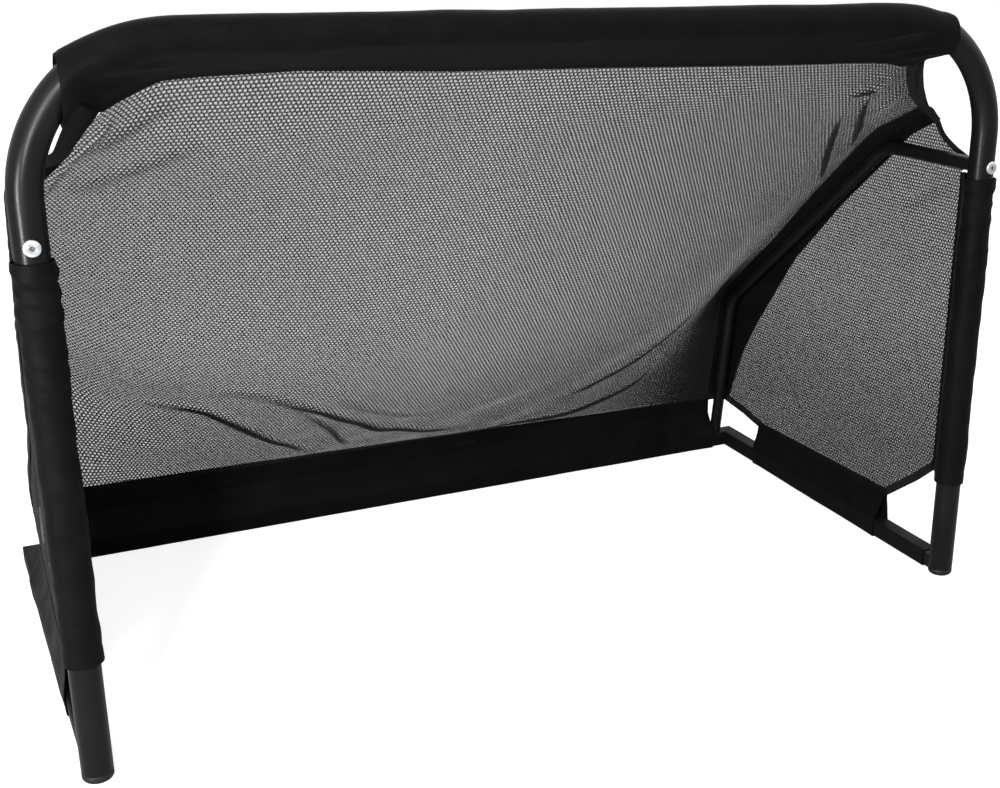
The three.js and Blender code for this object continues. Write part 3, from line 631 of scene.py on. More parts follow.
def cut_at(piece: Piece, point: Sequence[float], normal: Sequence[float]) -> None:
    """Keeps the part of a piece behind a plane.

    Args:
        piece: The piece.
        point: A point on the plane.
        normal: The plane's normal, towards what is cut away.
    """
    make_active(piece)
    bpy.ops.object.mode_set(mode="EDIT")
    bpy.ops.mesh.select_all(action="SELECT")
    bpy.ops.mesh.bisect(plane_co=point, plane_no=normal, clear_outer=True)
    bpy.ops.object.mode_set(mode="OBJECT")


# ---- Cloth helpers ----

HEM_WIDTH = 0.014
HEM_SOFTNESS = 0.0009
SECTION_ROUNDING = 0.004  # of a loop's corners
SECTION_POINTS = 400


def along(line: Line) -> np.ndarray:
    """The distance along a line of points at each point."""
    steps = np.linalg.norm(np.diff(line, axis=0), axis=1)
    return np.concatenate([[0.0], np.cumsum(steps)])


def resample(line: Line, count: int) -> Line:
    """Spaces that many points evenly along a line.

    Args:
        line: The points.
        count: How many points it gets.

    Returns:
        The evenly spaced points.
    """
    reach = along(line)
    even = np.linspace(0, reach[-1], count)
    return np.stack([np.interp(even, reach, line[:, k]) for k in range(line.shape[1])], axis=1)


def softened(line: Line, radius: float, count: int = 240) -> Line:
    """Rounds a line's corners over about that radius, with its ends kept.

    Args:
        line: The points.
        radius: The rounding.
        count: How many points it gets.

    Returns:
        The rounded line.
    """
    fine = resample(np.asarray(line, float), count)
    spacing = along(fine)[-1] / (count - 1)
    reach = max(int(round(radius / spacing)), 1)
    weights = np.hanning(2 * reach + 3)[1:-1]
    weights /= weights.sum()
    head = 2 * fine[0] - fine[reach:0:-1]
    tail = 2 * fine[-1] - fine[-2 : -reach - 2 : -1]
    padded = np.concatenate([head, fine, tail])
    return np.stack([np.convolve(padded[:, k], weights, "valid") for k in range(fine.shape[1])], 1)


@dataclass(frozen=True)
class Ripples:
    """Shallow waves in cloth: a seeded sum of sines with wavelengths in a span."""

    seed: int
    height: float
    shortest: float
    longest: float
    heading: float = 0.0
    spread: float = 90.0
    waves: int = 14

    def at(self, across: np.ndarray, down: np.ndarray) -> np.ndarray:
        """The waves' height at places on the cloth, in metres.

        Args:
            across: Distances across the cloth.
            down: Distances down the cloth.

        Returns:
            The heights.
        """
        random = np.random.default_rng(self.seed)
        total = np.zeros(np.broadcast(across, down).shape)
        for _ in range(self.waves):
            length = random.uniform(self.shortest, self.longest)
            angle = math.radians(self.heading + random.uniform(-self.spread, self.spread))
            phase = random.uniform(0, 2 * math.pi)
            weight = random.uniform(0.5, 1.0) * length / self.longest
            travel = across * math.cos(angle) + down * math.sin(angle)
            total += weight * np.sin(2 * math.pi * travel / length + phase)
        return self.height * total / math.sqrt(self.waves / 2)


@dataclass(frozen=True)
class Fold:
    """A crease through points on the cloth, highest in its middle and faded at its ends."""

    through: tuple[Pair, ...]
    height: float
    width: float
    bunch: float = 0.5

    def strength(self, across: np.ndarray, down: np.ndarray) -> np.ndarray:
        """How much of the crease is at places on the cloth, from 0 to 1.

        Args:
            across: Distances across the cloth.
            down: Distances down the cloth.

        Returns:
            The shares.
        """
        line = softened(np.array(self.through), 0.03, 60)
        reach = along(line) / along(line)[-1]
        nearest = np.full(across.shape, np.inf)
        share = np.zeros(across.shape)
        for (x0, y0), (x1, y1), start, end in zip(line[:-1], line[1:], reach[:-1], reach[1:]):
            dx = x1 - x0
            dy = y1 - y0
            t = np.clip(((across - x0) * dx + (down - y0) * dy) / (dx * dx + dy * dy), 0, 1)
            distance = np.hypot(across - x0 - t * dx, down - y0 - t * dy)
            closer = distance < nearest
            nearest = np.where(closer, distance, nearest)
            share = np.where(closer, start + (end - start) * t, share)
        fade = np.sin(math.pi * np.clip(share, 0, 1)) ** 0.7
        return fade * np.exp(-((nearest / self.width) ** 2))


def cloth_grid(points: np.ndarray, uv: np.ndarray, bunch: np.ndarray | None = None) -> Piece:
    """Makes a grid of rows and columns stand at the given points, with its cloth coordinates.

    Args:
        points: The places, by row and column.
        uv: The cloth coordinates, in metres.
        bunch: How far the cloth is heaped there, where it is.

    Returns:
        The grid as a piece.
    """
    rows = points.shape[0] - 1
    columns = points.shape[1] - 1
    deselect_all()
    bpy.ops.mesh.primitive_grid_add(x_subdivisions=columns, y_subdivisions=rows, size=1)
    piece = bpy.context.active_object
    placed = points.reshape(-1, 3) + np.array([0.0, HOOP_Y, 0.0])
    piece.data.vertices.foreach_set("co", placed.astype(np.float32).ravel())
    corners = np.zeros(len(piece.data.loops), int)
    piece.data.loops.foreach_get("vertex_index", corners)
    flat = uv.reshape(-1, 2)[corners]
    piece.data.uv_layers[0].name = "UVMap"
    piece.data.uv_layers[0].data.foreach_set("uv", flat.astype(np.float32).ravel())
    values = np.zeros(len(placed)) if bunch is None else bunch.ravel()
    layer = piece.data.attributes.new("bunch", "FLOAT", "POINT")
    layer.data.foreach_set("value", values.astype(np.float32))
    piece.data.update()
    return piece


def measured_uv(points: np.ndarray) -> np.ndarray:
    """Cloth coordinates from the mean spacing of the rows and the columns.

    Args:
        points: The places, by row and column.

    Returns:
        The coordinates, by row and column.
    """
    column_steps = np.linalg.norm(np.diff(points, axis=1), axis=2).mean(axis=0)
    row_steps = np.linalg.norm(np.diff(points, axis=0), axis=2).mean(axis=1)
    across = np.concatenate([[0.0], np.cumsum(column_steps)])
    down = np.concatenate([[0.0], np.cumsum(row_steps)])
    return np.stack(np.meshgrid(across, down), axis=-1)


def hem_step(edge: np.ndarray, height: float) -> np.ndarray:
    """The height that a turned hem adds at distances from the cloth's edge."""
    return height / (1 + np.exp((edge - HEM_WIDTH) / HEM_SOFTNESS))


def flip_if_inward(piece: Piece) -> None:
    """Turns a loop's faces outward from the middle of the piece.

    Args:
        piece: The piece.
    """
    count = len(piece.data.polygons)
    centres = np.zeros(count * 3)
    normals = np.zeros(count * 3)
    piece.data.polygons.foreach_get("center", centres)
    piece.data.polygons.foreach_get("normal", normals)
    centres = centres.reshape(-1, 3)
    offset = centres - centres.mean(axis=0)
    if (offset * normals.reshape(-1, 3)).sum() < 0:
        piece.data.flip_normals()


def outward(section: Line) -> Line:
    """The outward normals of a loop's section that runs up the front and down the back.

    Args:
        section: The points of the section.

    Returns:
        A unit vector at each point.
    """
    tangent = np.gradient(section, axis=0)
    tangent /= np.linalg.norm(tangent, axis=1)[:, None] + 1e-12
    return np.stack([-tangent[:, 1], tangent[:, 0]], axis=1)


def teardrop(radius: float, seam: Pair, tail: float, gap: float) -> Line:
    """A cloth loop's section round a round tube, from its sewn tail's tip and back to it.

    Args:
        radius: The tube's radius with the cloth on it.
        seam: The seam's place from the middle.
        tail: The length of the sewn tail.
        gap: Half the distance between the seam's two cloths.

    Returns:
        The section's points, as pairs of depth and height.
    """
    reach = math.hypot(*seam)
    heading = math.atan2(seam[1], seam[0])
    half = math.acos(radius / (reach - tail))
    towards = np.array([math.cos(heading), math.sin(heading)])
    side = np.array([-towards[1], towards[0]]) * gap
    tip = np.array(seam)
    join = tip - towards * tail
    angles = np.linspace(heading - half, heading + half - 2 * math.pi, 60)
    arc = radius * np.stack([np.cos(angles), np.sin(angles)], axis=1)
    return np.concatenate([[tip - side, join - side], arc, [join + side, tip + side]])


def rail_loop(
    half: float, bottom: float, top: float, seam: Pair, tip: float, gap: float
) -> Line:
    """A cloth loop's section round a square rail, closed at a seam above it with a band over it.

    Args:
        half: Half of the loop's width.
        bottom: The loop's lowest height.
        top: The height of the loop's upper corners.
        seam: The seam's place from the rail's middle and its height.
        tip: The height of the band's edge.
        gap: Half the distance between the seam's two cloths.

    Returns:
        The section's points, as pairs of distance from the middle and height.
    """
    seam_y, seam_z = seam
    corners = [
        (seam_y - gap, tip),
        (seam_y - gap, seam_z),
        (-half, top),
        (-half, bottom),
        (half, bottom),
        (half, top),
        (seam_y + gap, seam_z),
        (seam_y + gap, tip),
    ]
    rounded = softened(np.array(corners), SECTION_ROUNDING, SECTION_POINTS)
    rounded[:, 1] = np.maximum(rounded[:, 1], bottom)
    return rounded


# ---- The frame's steelwork ----


@dataclass
class Hoop:
    """The bent tube hoop: two posts with their bends, the crossbar and the foot caps."""

    radius: float = 0.017
    wall: float = 0.0015
    bend_radius: float = 0.151
    bend_start: float = 0.628
    bar_half: float = 0.330
    foot: float = 0.010
    cap_flat: float = 0.012
    gap: float = 0.0003  # between touching tubes and plugs

    def post(self, side: Side, finish: Material) -> Piece:
        """One post with its bend and its stretch of the top.

        Args:
            side: The side that it is on.
            finish: Its material.

        Returns:
            The piece.
        """
        sign = side.value
        bend_x = POST_X - self.bend_radius
        stretches = [
            Run((0, 0, self.bend_start - self.foot - self.gap)),
            Bend((sign * bend_x, HOOP_Y, self.bend_start), (0, sign, 0), 90, 30),
            Run((-sign * (bend_x - self.bar_half - self.gap), 0, 0)),
        ]
        start = (sign * POST_X, HOOP_Y, self.foot + self.gap)
        piece = swept_tube(start, (0, 0, 0), self.radius, self.wall, stretches)
        name = f"{side.label}_bent_post"
        return settle(piece, name, finish, Slot.POWDER, [f"{side.label}_post"])

    def top(self, finish: Material) -> Piece:
        """The straight tube between the posts' ends.

        Args:
            finish: Its material.

        Returns:
            The piece.
        """
        top_z = self.bend_start + self.bend_radius
        start = (-self.bar_half, HOOP_Y, top_z)
        stretches = [Run((2 * self.bar_half, 0, 0))]
        turn = (0, math.pi / 2, 0)
        piece = swept_tube(start, turn, self.radius, self.wall, stretches)
        return settle(piece, "top_tube", finish, Slot.POWDER, ["crossbar"])

    def cap(self, side: Side, finish: Material) -> Piece:
        """A plug in the post's foot with a domed sole and a shallow step at the tube.

        Args:
            side: The side that it is on.
            finish: Its material.

        Returns:
            The piece.
        """
        fillet = self.radius - self.cap_flat
        profile = [(self.cap_flat * 0.5, 0.0006), (self.cap_flat * 0.8, 0.0002)]
        for i in range(9):
            angle = math.pi / 2 * i / 8
            profile.append(
                (self.cap_flat + fillet * math.sin(angle), fillet * (1 - math.cos(angle)))
            )
        profile += [
            (self.radius, self.foot - 0.001),
            (self.radius - 0.0006, self.foot - 0.0003),
            (self.radius - self.wall - 0.0004, self.foot - 0.0002),
            (self.radius - self.wall - 0.0004, self.foot + 0.024),
            (self.radius - self.wall - 0.0014, self.foot + 0.025),
        ]
        piece = turned(profile)
        piece.location = (side.value * POST_X, HOOP_Y, 0)
        name = f"{side.label}_foot_plug"
        return settle(piece, name, finish, Slot.PLASTIC, [f"{side.label}_foot_cap"], 50)

    def build(self, coat: Material, plastic: Material) -> None:
        """Builds the hoop.

        Args:
            coat: The steel tubes' material.
            plastic: The foot plugs' material.
        """
        self.top(coat)
        for side in Side:
            self.post(side, coat)
            self.cap(side, plastic)


@dataclass
class Base:
    """The square tube base: two side rails and a rear rail with mitred welded corners."""

    depth: float = 0.588
    size: float = 0.025
    wall: float = 0.0015
    corner: float = 0.0025
    bottom: float = 0.0016
    front: float = 0.025
    mitre_gap: float = 0.0001

    @property
    def middle(self) -> float:
        """The height of the rails' centre lines."""
        return self.bottom + self.size / 2

    def rail(self, start: Vector, end: Vector) -> Piece:
        """A length of square tube with rounded edges and open ends.

        Args:
            start: The rail's one end.
            end: The rail's other end.

        Returns:
            The rail, with its place in its mesh.
        """
        span = end - start
        deselect_all()
        bpy.ops.mesh.primitive_cube_add(size=1, location=(start + end) / 2)
        piece = bpy.context.active_object
        piece.scale = (self.size, span.length, self.size)
        if abs(span.x) > abs(span.y):
            piece.rotation_euler = (0, 0, math.pi / 2)
        bpy.ops.object.transform_apply(location=True, rotation=True, scale=True)
        axis = 0 if abs(span.x) > abs(span.y) else 1
        bpy.ops.object.mode_set(mode="EDIT")
        bpy.ops.mesh.select_mode(type="EDGE")
        bpy.ops.mesh.select_all(action="DESELECT")
        bpy.ops.object.mode_set(mode="OBJECT")
        for edge in piece.data.edges:
            first, second = (piece.data.vertices[i].co for i in edge.vertices)
            edge.select = abs(first[axis] - second[axis]) > span.length / 2
        bpy.ops.object.mode_set(mode="EDIT")
        bpy.ops.mesh.bevel(offset=self.corner, segments=5, affect="EDGES")
        bpy.ops.mesh.select_mode(type="FACE")
        bpy.ops.mesh.select_all(action="DESELECT")
        bpy.ops.object.mode_set(mode="OBJECT")
        for face in piece.data.polygons:
            face.select = abs(face.normal[axis]) > 0.9
        bpy.ops.object.mode_set(mode="EDIT")
        bpy.ops.mesh.delete(type="ONLY_FACE")
        bpy.ops.object.mode_set(mode="OBJECT")
        return piece

    def side_rail(self, side: Side, finish: Material) -> Piece:
        """One side rail, mitred at the back.

        Args:
            side: The side that it is on.
            finish: Its material.

        Returns:
            The piece.
        """
        sign = side.value
        rear = HOOP_Y + self.depth
        start = Vector((sign * POST_X, HOOP_Y + self.front, self.middle))
        end = Vector((sign * POST_X, rear + self.size, self.middle))
        piece = self.rail(start, end)
        cut_at(piece, (sign * POST_X, rear - self.mitre_gap, 0), (-sign, 1, 0))
        clean(piece)
        hollow(piece, self.wall)
        name = f"{side.label}_base_rail"
        return settle(piece, name, finish, Slot.POWDER, [f"{side.label}_side_rail"])

    def rear_rail(self, finish: Material) -> Piece:
        """The rear rail, mitred at both ends.

        Args:
            finish: Its material.

        Returns:
            The piece.
        """
        rear = HOOP_Y + self.depth
        half = POST_X + self.size
        piece = self.rail(Vector((-half, rear, self.middle)), Vector((half, rear, self.middle)))
        for sign in (-1, 1):
            cut_at(piece, (sign * POST_X, rear + self.mitre_gap, 0), (sign, -1, 0))
        clean(piece)
        hollow(piece, self.wall)
        return settle(piece, "rear_base_rail", finish, Slot.POWDER, ["rear_rail"])

    def build(self, coat: Material) -> None:
        """Builds the base.

        Args:
            coat: The steel tubes' material.
        """
        self.rear_rail(coat)
        for side in Side:
            self.side_rail(side, coat)


@dataclass
class Arms:
    """The bent arms between the posts and the rear rail, with their bolts."""

    radius: float = 0.0095
    wall: float = 0.0012
    bend_radius: float = 0.060
    height: float = 0.590
    shoulder: float = 0.187
    knee: Pair = (0.5536, 0.2786)
    foot: Pair = (0.5886, 0.0266)
    inset: float = 0.026
    depth: float = 0.588
    head_radius: float = 0.0085
    head: float = 0.0035
    socket: float = 0.005
    socket_depth: float = 0.0025
    post_clear: float = 0.0173

    @property
    def toe(self) -> float:
        """How far the arms turn inward, in radians."""
        return math.atan2(self.inset, self.depth)

    def to_place(self, piece: Piece, side: Side) -> None:
        """Turns a piece built on the post's axis to its side's toed plane."""
        piece.location = (side.value * POST_X, HOOP_Y, 0)
        piece.rotation_euler = (0, 0, side.value * self.toe)

    def tube(self, side: Side, finish: Material) -> Piece:
        """One arm: level, sloping to its knee and standing on the rear rail.

        Args:
            side: The side that it is on.
            finish: Its material.

        Returns:
            The piece.
        """
        slope = math.atan2(self.height - self.knee[1], self.knee[0] - self.shoulder)
        leg = math.atan2(self.knee[1] - self.foot[1], self.foot[0] - self.knee[0])
        shoulder_cut = self.bend_radius * math.tan(slope / 2)
        knee_cut = self.bend_radius * math.tan((leg - slope) / 2)
        front = 0.012
        spare = 0.012  # below the foot, for the cut
        level = self.shoulder - shoulder_cut
        run = math.hypot(self.knee[0] - self.shoulder, self.height - self.knee[1])
        straight = run - shoulder_cut - knee_cut
        fall = (0.0, math.cos(slope), -math.sin(slope))
        stand = (0.0, math.cos(leg), -math.sin(leg))
        knee_start = [
            self.knee[0] - knee_cut * math.cos(slope),
            self.knee[1] + knee_cut * math.sin(slope),
        ]
        knee_centre = (
            0.0,
            knee_start[0] - self.bend_radius * math.sin(slope),
            knee_start[1] - self.bend_radius * math.cos(slope),
        )
        leg_length = math.dist(self.knee, self.foot) - knee_cut + spare
        stretches = [
            Run((0, level - front, 0)),
            Bend((0, level, self.height - self.bend_radius), (1, 0, 0), math.degrees(slope), 14),
            Run(tuple(part * straight for part in fall)),
            Bend(knee_centre, (1, 0, 0), math.degrees(leg - slope), 14),
            Run(tuple(part * leg_length for part in stand)),
        ]
        start = (0, front, self.height)
        piece = swept_tube(start, (math.pi / 2, 0, 0), self.radius, self.wall, stretches, 40)
        for vertex in piece.data.vertices:
            if vertex.co.y < front + 0.001:
                vertex.co.y = math.sqrt(self.post_clear**2 - vertex.co.x**2)
        cut_at(piece, (0, 0, self.foot[1] + 0.0003), (0, 0, -1))
        self.to_place(piece, side)
        name = f"{side.label}_bent_arm"
        return settle(piece, name, finish, Slot.POWDER, [f"{side.label}_arm"])

    def bolt(self, side: Side, finish: Material, dark: Material) -> Piece:
        """The bolt through the post: a flat round head with a hexagon socket, and its shank.

        Args:
            side: The side that it is on.
            finish: Its material.
            dark: The socket's material, painted shade.

        Returns:
            The piece.
        """
        crown = self.head_radius
        profile = [
            (crown * 0.5, 0.0),
            (crown - 0.0012, 0.0),
            (crown - 0.0006, 0.00025),
            (crown - 0.0001, 0.0009),
            (crown, 0.0014),
            (crown, self.head - 0.0003),
            (crown - 0.0003, self.head),
            (0.0040, self.head),
            (0.0040, 0.060),
            (0.0032, 0.0605),
        ]
        piece = turned(profile, 64)
        deselect_all()
        bpy.ops.mesh.primitive_cylinder_add(
            vertices=6, radius=self.socket / math.sqrt(3), depth=2 * self.socket_depth
        )
        carve(piece, bpy.context.active_object)
        seat = self.post_clear
        piece.rotation_euler = (-math.pi / 2, 0, 0)
        piece.location = (0, -(seat + self.head), self.height)
        make_active(piece)
        bpy.ops.object.transform_apply(location=True, rotation=True, scale=True)
        self.to_place(piece, side)
        name = f"{side.label}_socket_bolt"
        settle(piece, name, finish, Slot.ZINC, [f"{side.label}_arm_bolt"], 30)
        # The socket's inner faces take the second material, which paints shade into the recess.
        piece.data.materials.append(dark)
        face_y = HOOP_Y - seat - self.head
        for face in piece.data.polygons:
            away = math.hypot(abs(face.center.x) - POST_X, face.center.z - self.height)
            deep = face.center.y > face_y + 0.0002
            if away < self.socket * 0.6 and deep and face.center.y < face_y + 0.004:
                face.material_index = 1
        return piece

    def build(self, coat: Material, zinc: Material, socket: Material) -> None:
        """Builds the arms and their bolts.

        Args:
            coat: The steel tubes' material.
            zinc: The bolts' material.
            socket: The sockets' material, painted shade.
        """
        for side in Side:
            self.tube(side, coat)
            self.bolt(side, zinc, socket)


# ---- The net's cloth ----


@dataclass
class Sleeves:
    """The cloth loops that carry the net on the tubes."""

    cloth: float = 0.0010
    tube: float = 0.0180
    tail: float = 0.008
    gap: float = 0.0011
    top_left: float = -0.543
    top_right: float = 0.510
    bend_centre: float = 0.432
    bend_radius: float = 0.151
    bend_start: float = 0.628
    top_seam: tuple[Place, ...] = (
        (-0.543, 0.033, 0.0110),
        (-0.520, 0.044, 0.0380),
        (-0.500, 0.055, 0.0600),
        (-0.470, 0.058, 0.0560),
        (-0.440, 0.058, 0.0475),
        (-0.400, 0.058, 0.0450),
        (-0.300, 0.058, 0.0425),
        (-0.134, 0.058, 0.0485),
        (0.049, 0.058, 0.0506),
        (0.250, 0.058, 0.0547),
        (0.449, 0.058, 0.0570),
        (0.485, 0.058, 0.0540),
        (0.500, 0.054, 0.0440),
        (0.510, 0.047, 0.0350),
    )
    post_bottom: float = 0.143
    post_top: float = 0.574
    post_seam: Pair = (0.048, 0.011)
    rear_half: float = 0.546
    rear_depth: float = 0.588
    rail_half: float = 0.0135
    rail_bottom: float = 0.0007
    rail_top: float = 0.0276
    rear_seam: Pair = (0.010, 0.061)
    rear_tip: Place = (0.103, 0.096, 0.086)
    side_front: float = 0.142
    side_rear: float = 0.480
    side_seam: float = 0.066
    side_tip: float = 0.0745

    def top_line(self, x: float) -> tuple[Vector, float]:
        """Where the top tube's centre is at x, and how its slope stretches an upright section.

        Args:
            x: The distance to the right of the middle.

        Returns:
            The centre's place and the stretch.
        """
        past = max(abs(x) - self.bend_centre, 0.0)
        angle = math.asin(past / self.bend_radius)
        height = self.bend_start + self.bend_radius * math.cos(angle)
        return Vector((x, 0, height)), 1 / math.cos(angle)

    def top_seam_at(self, x: float) -> Pair:
        """How far back and down from the tube's centre the seam is at x."""
        places, backs, drops = np.array(self.top_seam).T
        return float(np.interp(x, places, backs)), float(np.interp(x, places, drops))

    def top_tip(self, x: float) -> Vector:
        """The seam's tip at x.

        Args:
            x: The distance to the right of the middle.

        Returns:
            Its place.
        """
        centre, _ = self.top_line(x)
        back, drop = self.top_seam_at(x)
        return centre + Vector((0, back, -drop))

    def top(self, finish: Material) -> Piece:
        """The loop over the crossbar, with its ends on the hoop's bends.

        Args:
            finish: Its material.

        Returns:
            The piece.
        """
        columns = 210
        rows = 66
        stations = np.linspace(self.top_left, self.top_right, columns + 1)
        points = np.zeros((rows + 1, columns + 1, 3))
        normals = np.zeros_like(points)
        for i, x in enumerate(stations):
            centre, stretch = self.top_line(float(x))
            back, drop = self.top_seam_at(float(x))
            flare = 0.0035 * math.exp(-(((x - self.top_left) / 0.02) ** 2))
            flare += 0.0015 * math.exp(-(((x - self.top_right) / 0.02) ** 2))
            section = teardrop(self.tube + flare, (back, -drop / stretch), self.tail, self.gap)
            section = resample(softened(section, SECTION_ROUNDING, SECTION_POINTS), rows + 1)
            away = outward(section)
            points[:, i, 0] = centre.x
            points[:, i, 1] = section[:, 0]
            points[:, i, 2] = section[:, 1] * stretch + centre.z
            normals[:, i, 1] = away[:, 0]
            normals[:, i, 2] = away[:, 1] * stretch
        uv = measured_uv(points)
        across = uv[..., 0]
        down = uv[..., 1]
        girth = down.max()
        width = across.max()
        free = np.sin(np.pi * down / girth) ** 0.6
        panel = np.clip(np.sin(2 * np.pi * np.clip(down / girth, 0, 0.5)), 0, 1)
        lift = 0.0004 + Ripples(3, 0.0011, 0.035, 0.16, 25, 55).at(across, down)
        ends = np.exp(-((across / 0.09) ** 2)) + np.exp(-(((width - across) / 0.08) ** 2))
        lift = lift * (0.5 + 1.3 * ends) * free
        sag = 0.0016 * panel * Ripples(5, 1.0, 0.08, 0.30, 0, 20).at(across, down)
        lift = lift + sag
        creases = (
            Fold(((0.000, 0.085), (0.030, 0.062), (0.075, 0.020)), 0.0026, 0.006),
            Fold(((0.004, 0.062), (0.026, 0.040), (0.050, 0.012)), 0.0022, 0.005),
            Fold(((0.030, 0.100), (0.070, 0.070), (0.130, 0.030)), 0.0022, 0.007),
            Fold(((0.000, 0.105), (0.045, 0.092), (0.110, 0.066)), 0.0018, 0.006),
            Fold(((width, 0.085), (width - 0.035, 0.055), (width - 0.080, 0.018)), 0.0024, 0.006),
            Fold(((width, 0.064), (width - 0.020, 0.040), (width - 0.045, 0.012)), 0.0020, 0.005),
            Fold(((width - 0.01, 0.100), (width - 0.070, 0.080), (width - 0.15, 0.050)), 0.0018, 0.007),
        )
        for crease in creases:
            lift = lift + 1.5 * crease.height * crease.strength(across, down) * np.sqrt(free)
        edge = np.minimum(across, width - across)
        lift = lift + hem_step(edge, 0.0007)
        points = points + normals * np.maximum(lift, -0.0008)[..., None]
        piece = cloth_grid(points, uv)
        flip_if_inward(piece)
        thicken(piece, self.cloth)
        return settle(piece, "top_cloth_sleeve", finish, Slot.CLOTH, ["top_sleeve"], 70)

    def post(self, side: Side, finish: Material) -> Piece:
        """The loop round a post, sewn shut behind it.

        Args:
            side: The side that it is on.
            finish: Its material.

        Returns:
            The piece.
        """
        rows = 120
        columns = 60
        heights = np.linspace(self.post_bottom, self.post_top, rows + 1)
        section = teardrop(self.tube + 0.0007, self.post_seam, 0.010, self.gap)
        section = resample(softened(section, SECTION_ROUNDING, SECTION_POINTS), columns + 1)
        away = outward(section)
        points = np.zeros((rows + 1, columns + 1, 3))
        normals = np.zeros_like(points)
        points[..., 0] = side.value * (POST_X + section[None, :, 1])
        points[..., 1] = section[None, :, 0]
        points[..., 2] = heights[:, None]
        normals[..., 0] = side.value * away[None, :, 1]
        normals[..., 1] = away[None, :, 0]
        uv = measured_uv(points)
        around = uv[..., 0]
        up = uv[..., 1]
        girth = around.max()
        front = np.cos(2 * np.pi * (around / girth - 0.5))
        free = np.sin(np.pi * around / girth) ** 0.7
        seed = 11 if side is Side.LEFT else 17
        tall = self.post_top - self.post_bottom
        slack = np.exp(-(((tall - up) / 0.11) ** 2))
        drape = up + 0.020 * front
        phase = 2 * np.pi * drape / 0.027 + 1.6 * np.sin(2 * np.pi * drape / 0.083)
        swags = (0.5 + 0.5 * np.sin(phase)) ** 3 * np.clip(front + 0.25, 0, 1)
        amount = 0.0034 if side is Side.LEFT else 0.0015
        lift = 0.0012 + amount * slack * swags
        lift = lift + Ripples(seed, 0.0009, 0.04, 0.20, 90, 35).at(around, up)
        lift = lift + Ripples(seed + 1, 0.0006, 0.02, 0.06, 60, 60).at(around, up)
        lift = np.maximum(lift, 0.0) * free
        edge = np.minimum(up, tall - up)
        lift = lift + hem_step(edge, 0.0007)
        points = points + normals * lift[..., None]
        piece = cloth_grid(points, uv)
        flip_if_inward(piece)
        thicken(piece, self.cloth)
        name = f"{side.label}_post_cloth_sleeve"
        return settle(piece, name, finish, Slot.CLOTH, [f"{side.label}_post_sleeve"], 70)

    def rear_tip_at(self, x: float) -> float:
        """The height of the rear sleeve's upper edge at x."""
        return float(np.interp(x, [-self.rear_half, 0.0, self.rear_half], self.rear_tip))

    def rail_cloth(
        self,
        stations: np.ndarray,
        section_at: Callable[[float], Line],
        place: Callable[[float, Line], np.ndarray],
        seed: int,
    ) -> Piece:
        """A loop round a rail, from a section at each station.

        Args:
            stations: The places along the rail.
            section_at: Gives the section at a station.
            place: Gives a section's points at a station.
            seed: The ripples' seed.

        Returns:
            The loop as a piece.
        """
        rows = 84
        points = np.zeros((rows + 1, len(stations), 3))
        normals = np.zeros_like(points)
        for i, station in enumerate(stations):
            section = resample(section_at(float(station)), rows + 1)
            points[:, i] = place(float(station), section)
            shifted = section + outward(section)
            normals[:, i] = -(place(float(station), shifted) - points[:, i])
        uv = measured_uv(points)
        across = uv[..., 0]
        down = uv[..., 1]
        girth = down.max()
        share = down / girth
        clear = np.clip(1 - np.abs(share - 0.5) / 0.16, 0, 1)
        free = np.clip(np.minimum(share, 1 - share) / 0.10, 0, 1) * (1 - clear)
        lift = Ripples(seed, 0.0011, 0.05, 0.22, 30, 60).at(across, down)
        lift = lift + Ripples(seed + 1, 0.0005, 0.02, 0.07, 80, 50).at(across, down)
        lift = lift * free
        edge = np.minimum(across, across.max() - across)
        hem = hem_step(edge, 0.0006)
        points = points + normals * (lift + hem * (1 - clear))[..., None]
        points[..., 2] = np.maximum(points[..., 2], self.rail_bottom)
        piece = cloth_grid(points, uv)
        flip_if_inward(piece)
        thicken(piece, self.cloth)
        return piece

    def rear(self, finish: Material) -> Piece:
        """The loop round the rear rail, with its plain band above the seam.

        Args:
            finish: Its material.

        Returns:
            The piece.
        """

        def section_at(x: float) -> Line:
            """The loop's section at x.

            Args:
                x: The distance to the right of the middle.

            Returns:
                The points of the section.
            """
            tip = self.rear_tip_at(x)
            return rail_loop(
                self.rail_half, self.rail_bottom, self.rail_top, self.rear_seam, tip, self.gap
            )

        def place(x: float, section: Line) -> np.ndarray:
            """The section's points at x."""
            depth = self.rear_depth + section[:, 0]
            return np.stack([np.full(len(section), x), depth, section[:, 1]], axis=1)

        stations = np.linspace(-self.rear_half, self.rear_half, 219)
        piece = self.rail_cloth(stations, section_at, place, 23)
        return settle(piece, "rear_cloth_sleeve", finish, Slot.CLOTH, ["rear_sleeve"], 70)

    def side(self, side: Side, lean: Callable[[float], float], finish: Material) -> Piece:
        """The loop round a side rail, closed at a ridge under the side mesh.

        Args:
            side: The side that it is on.
            lean: Gives the side panel's distance from the middle at a depth.
            finish: Its material.

        Returns:
            The piece.
        """

        def section_at(y: float) -> Line:
            """The loop's section at a depth.

            Args:
                y: The depth.

            Returns:
                The points of the section.
            """
            ridge = (lean(y) - POST_X, self.side_seam)
            return rail_loop(
                self.rail_half, self.rail_bottom, self.rail_top, ridge, self.side_tip, self.gap
            )

        def place(y: float, section: Line) -> np.ndarray:
            """The section's points at a depth."""
            across = side.value * (POST_X + section[:, 0])
            return np.stack([across, np.full(len(section), y), section[:, 1]], axis=1)

        stations = np.linspace(self.side_front, self.side_rear, 69)
        piece = self.rail_cloth(stations, section_at, place, 31 + side.value)
        name = f"{side.label}_side_cloth_sleeve"
        return settle(piece, name, finish, Slot.CLOTH, [f"{side.label}_side_sleeve"], 70)


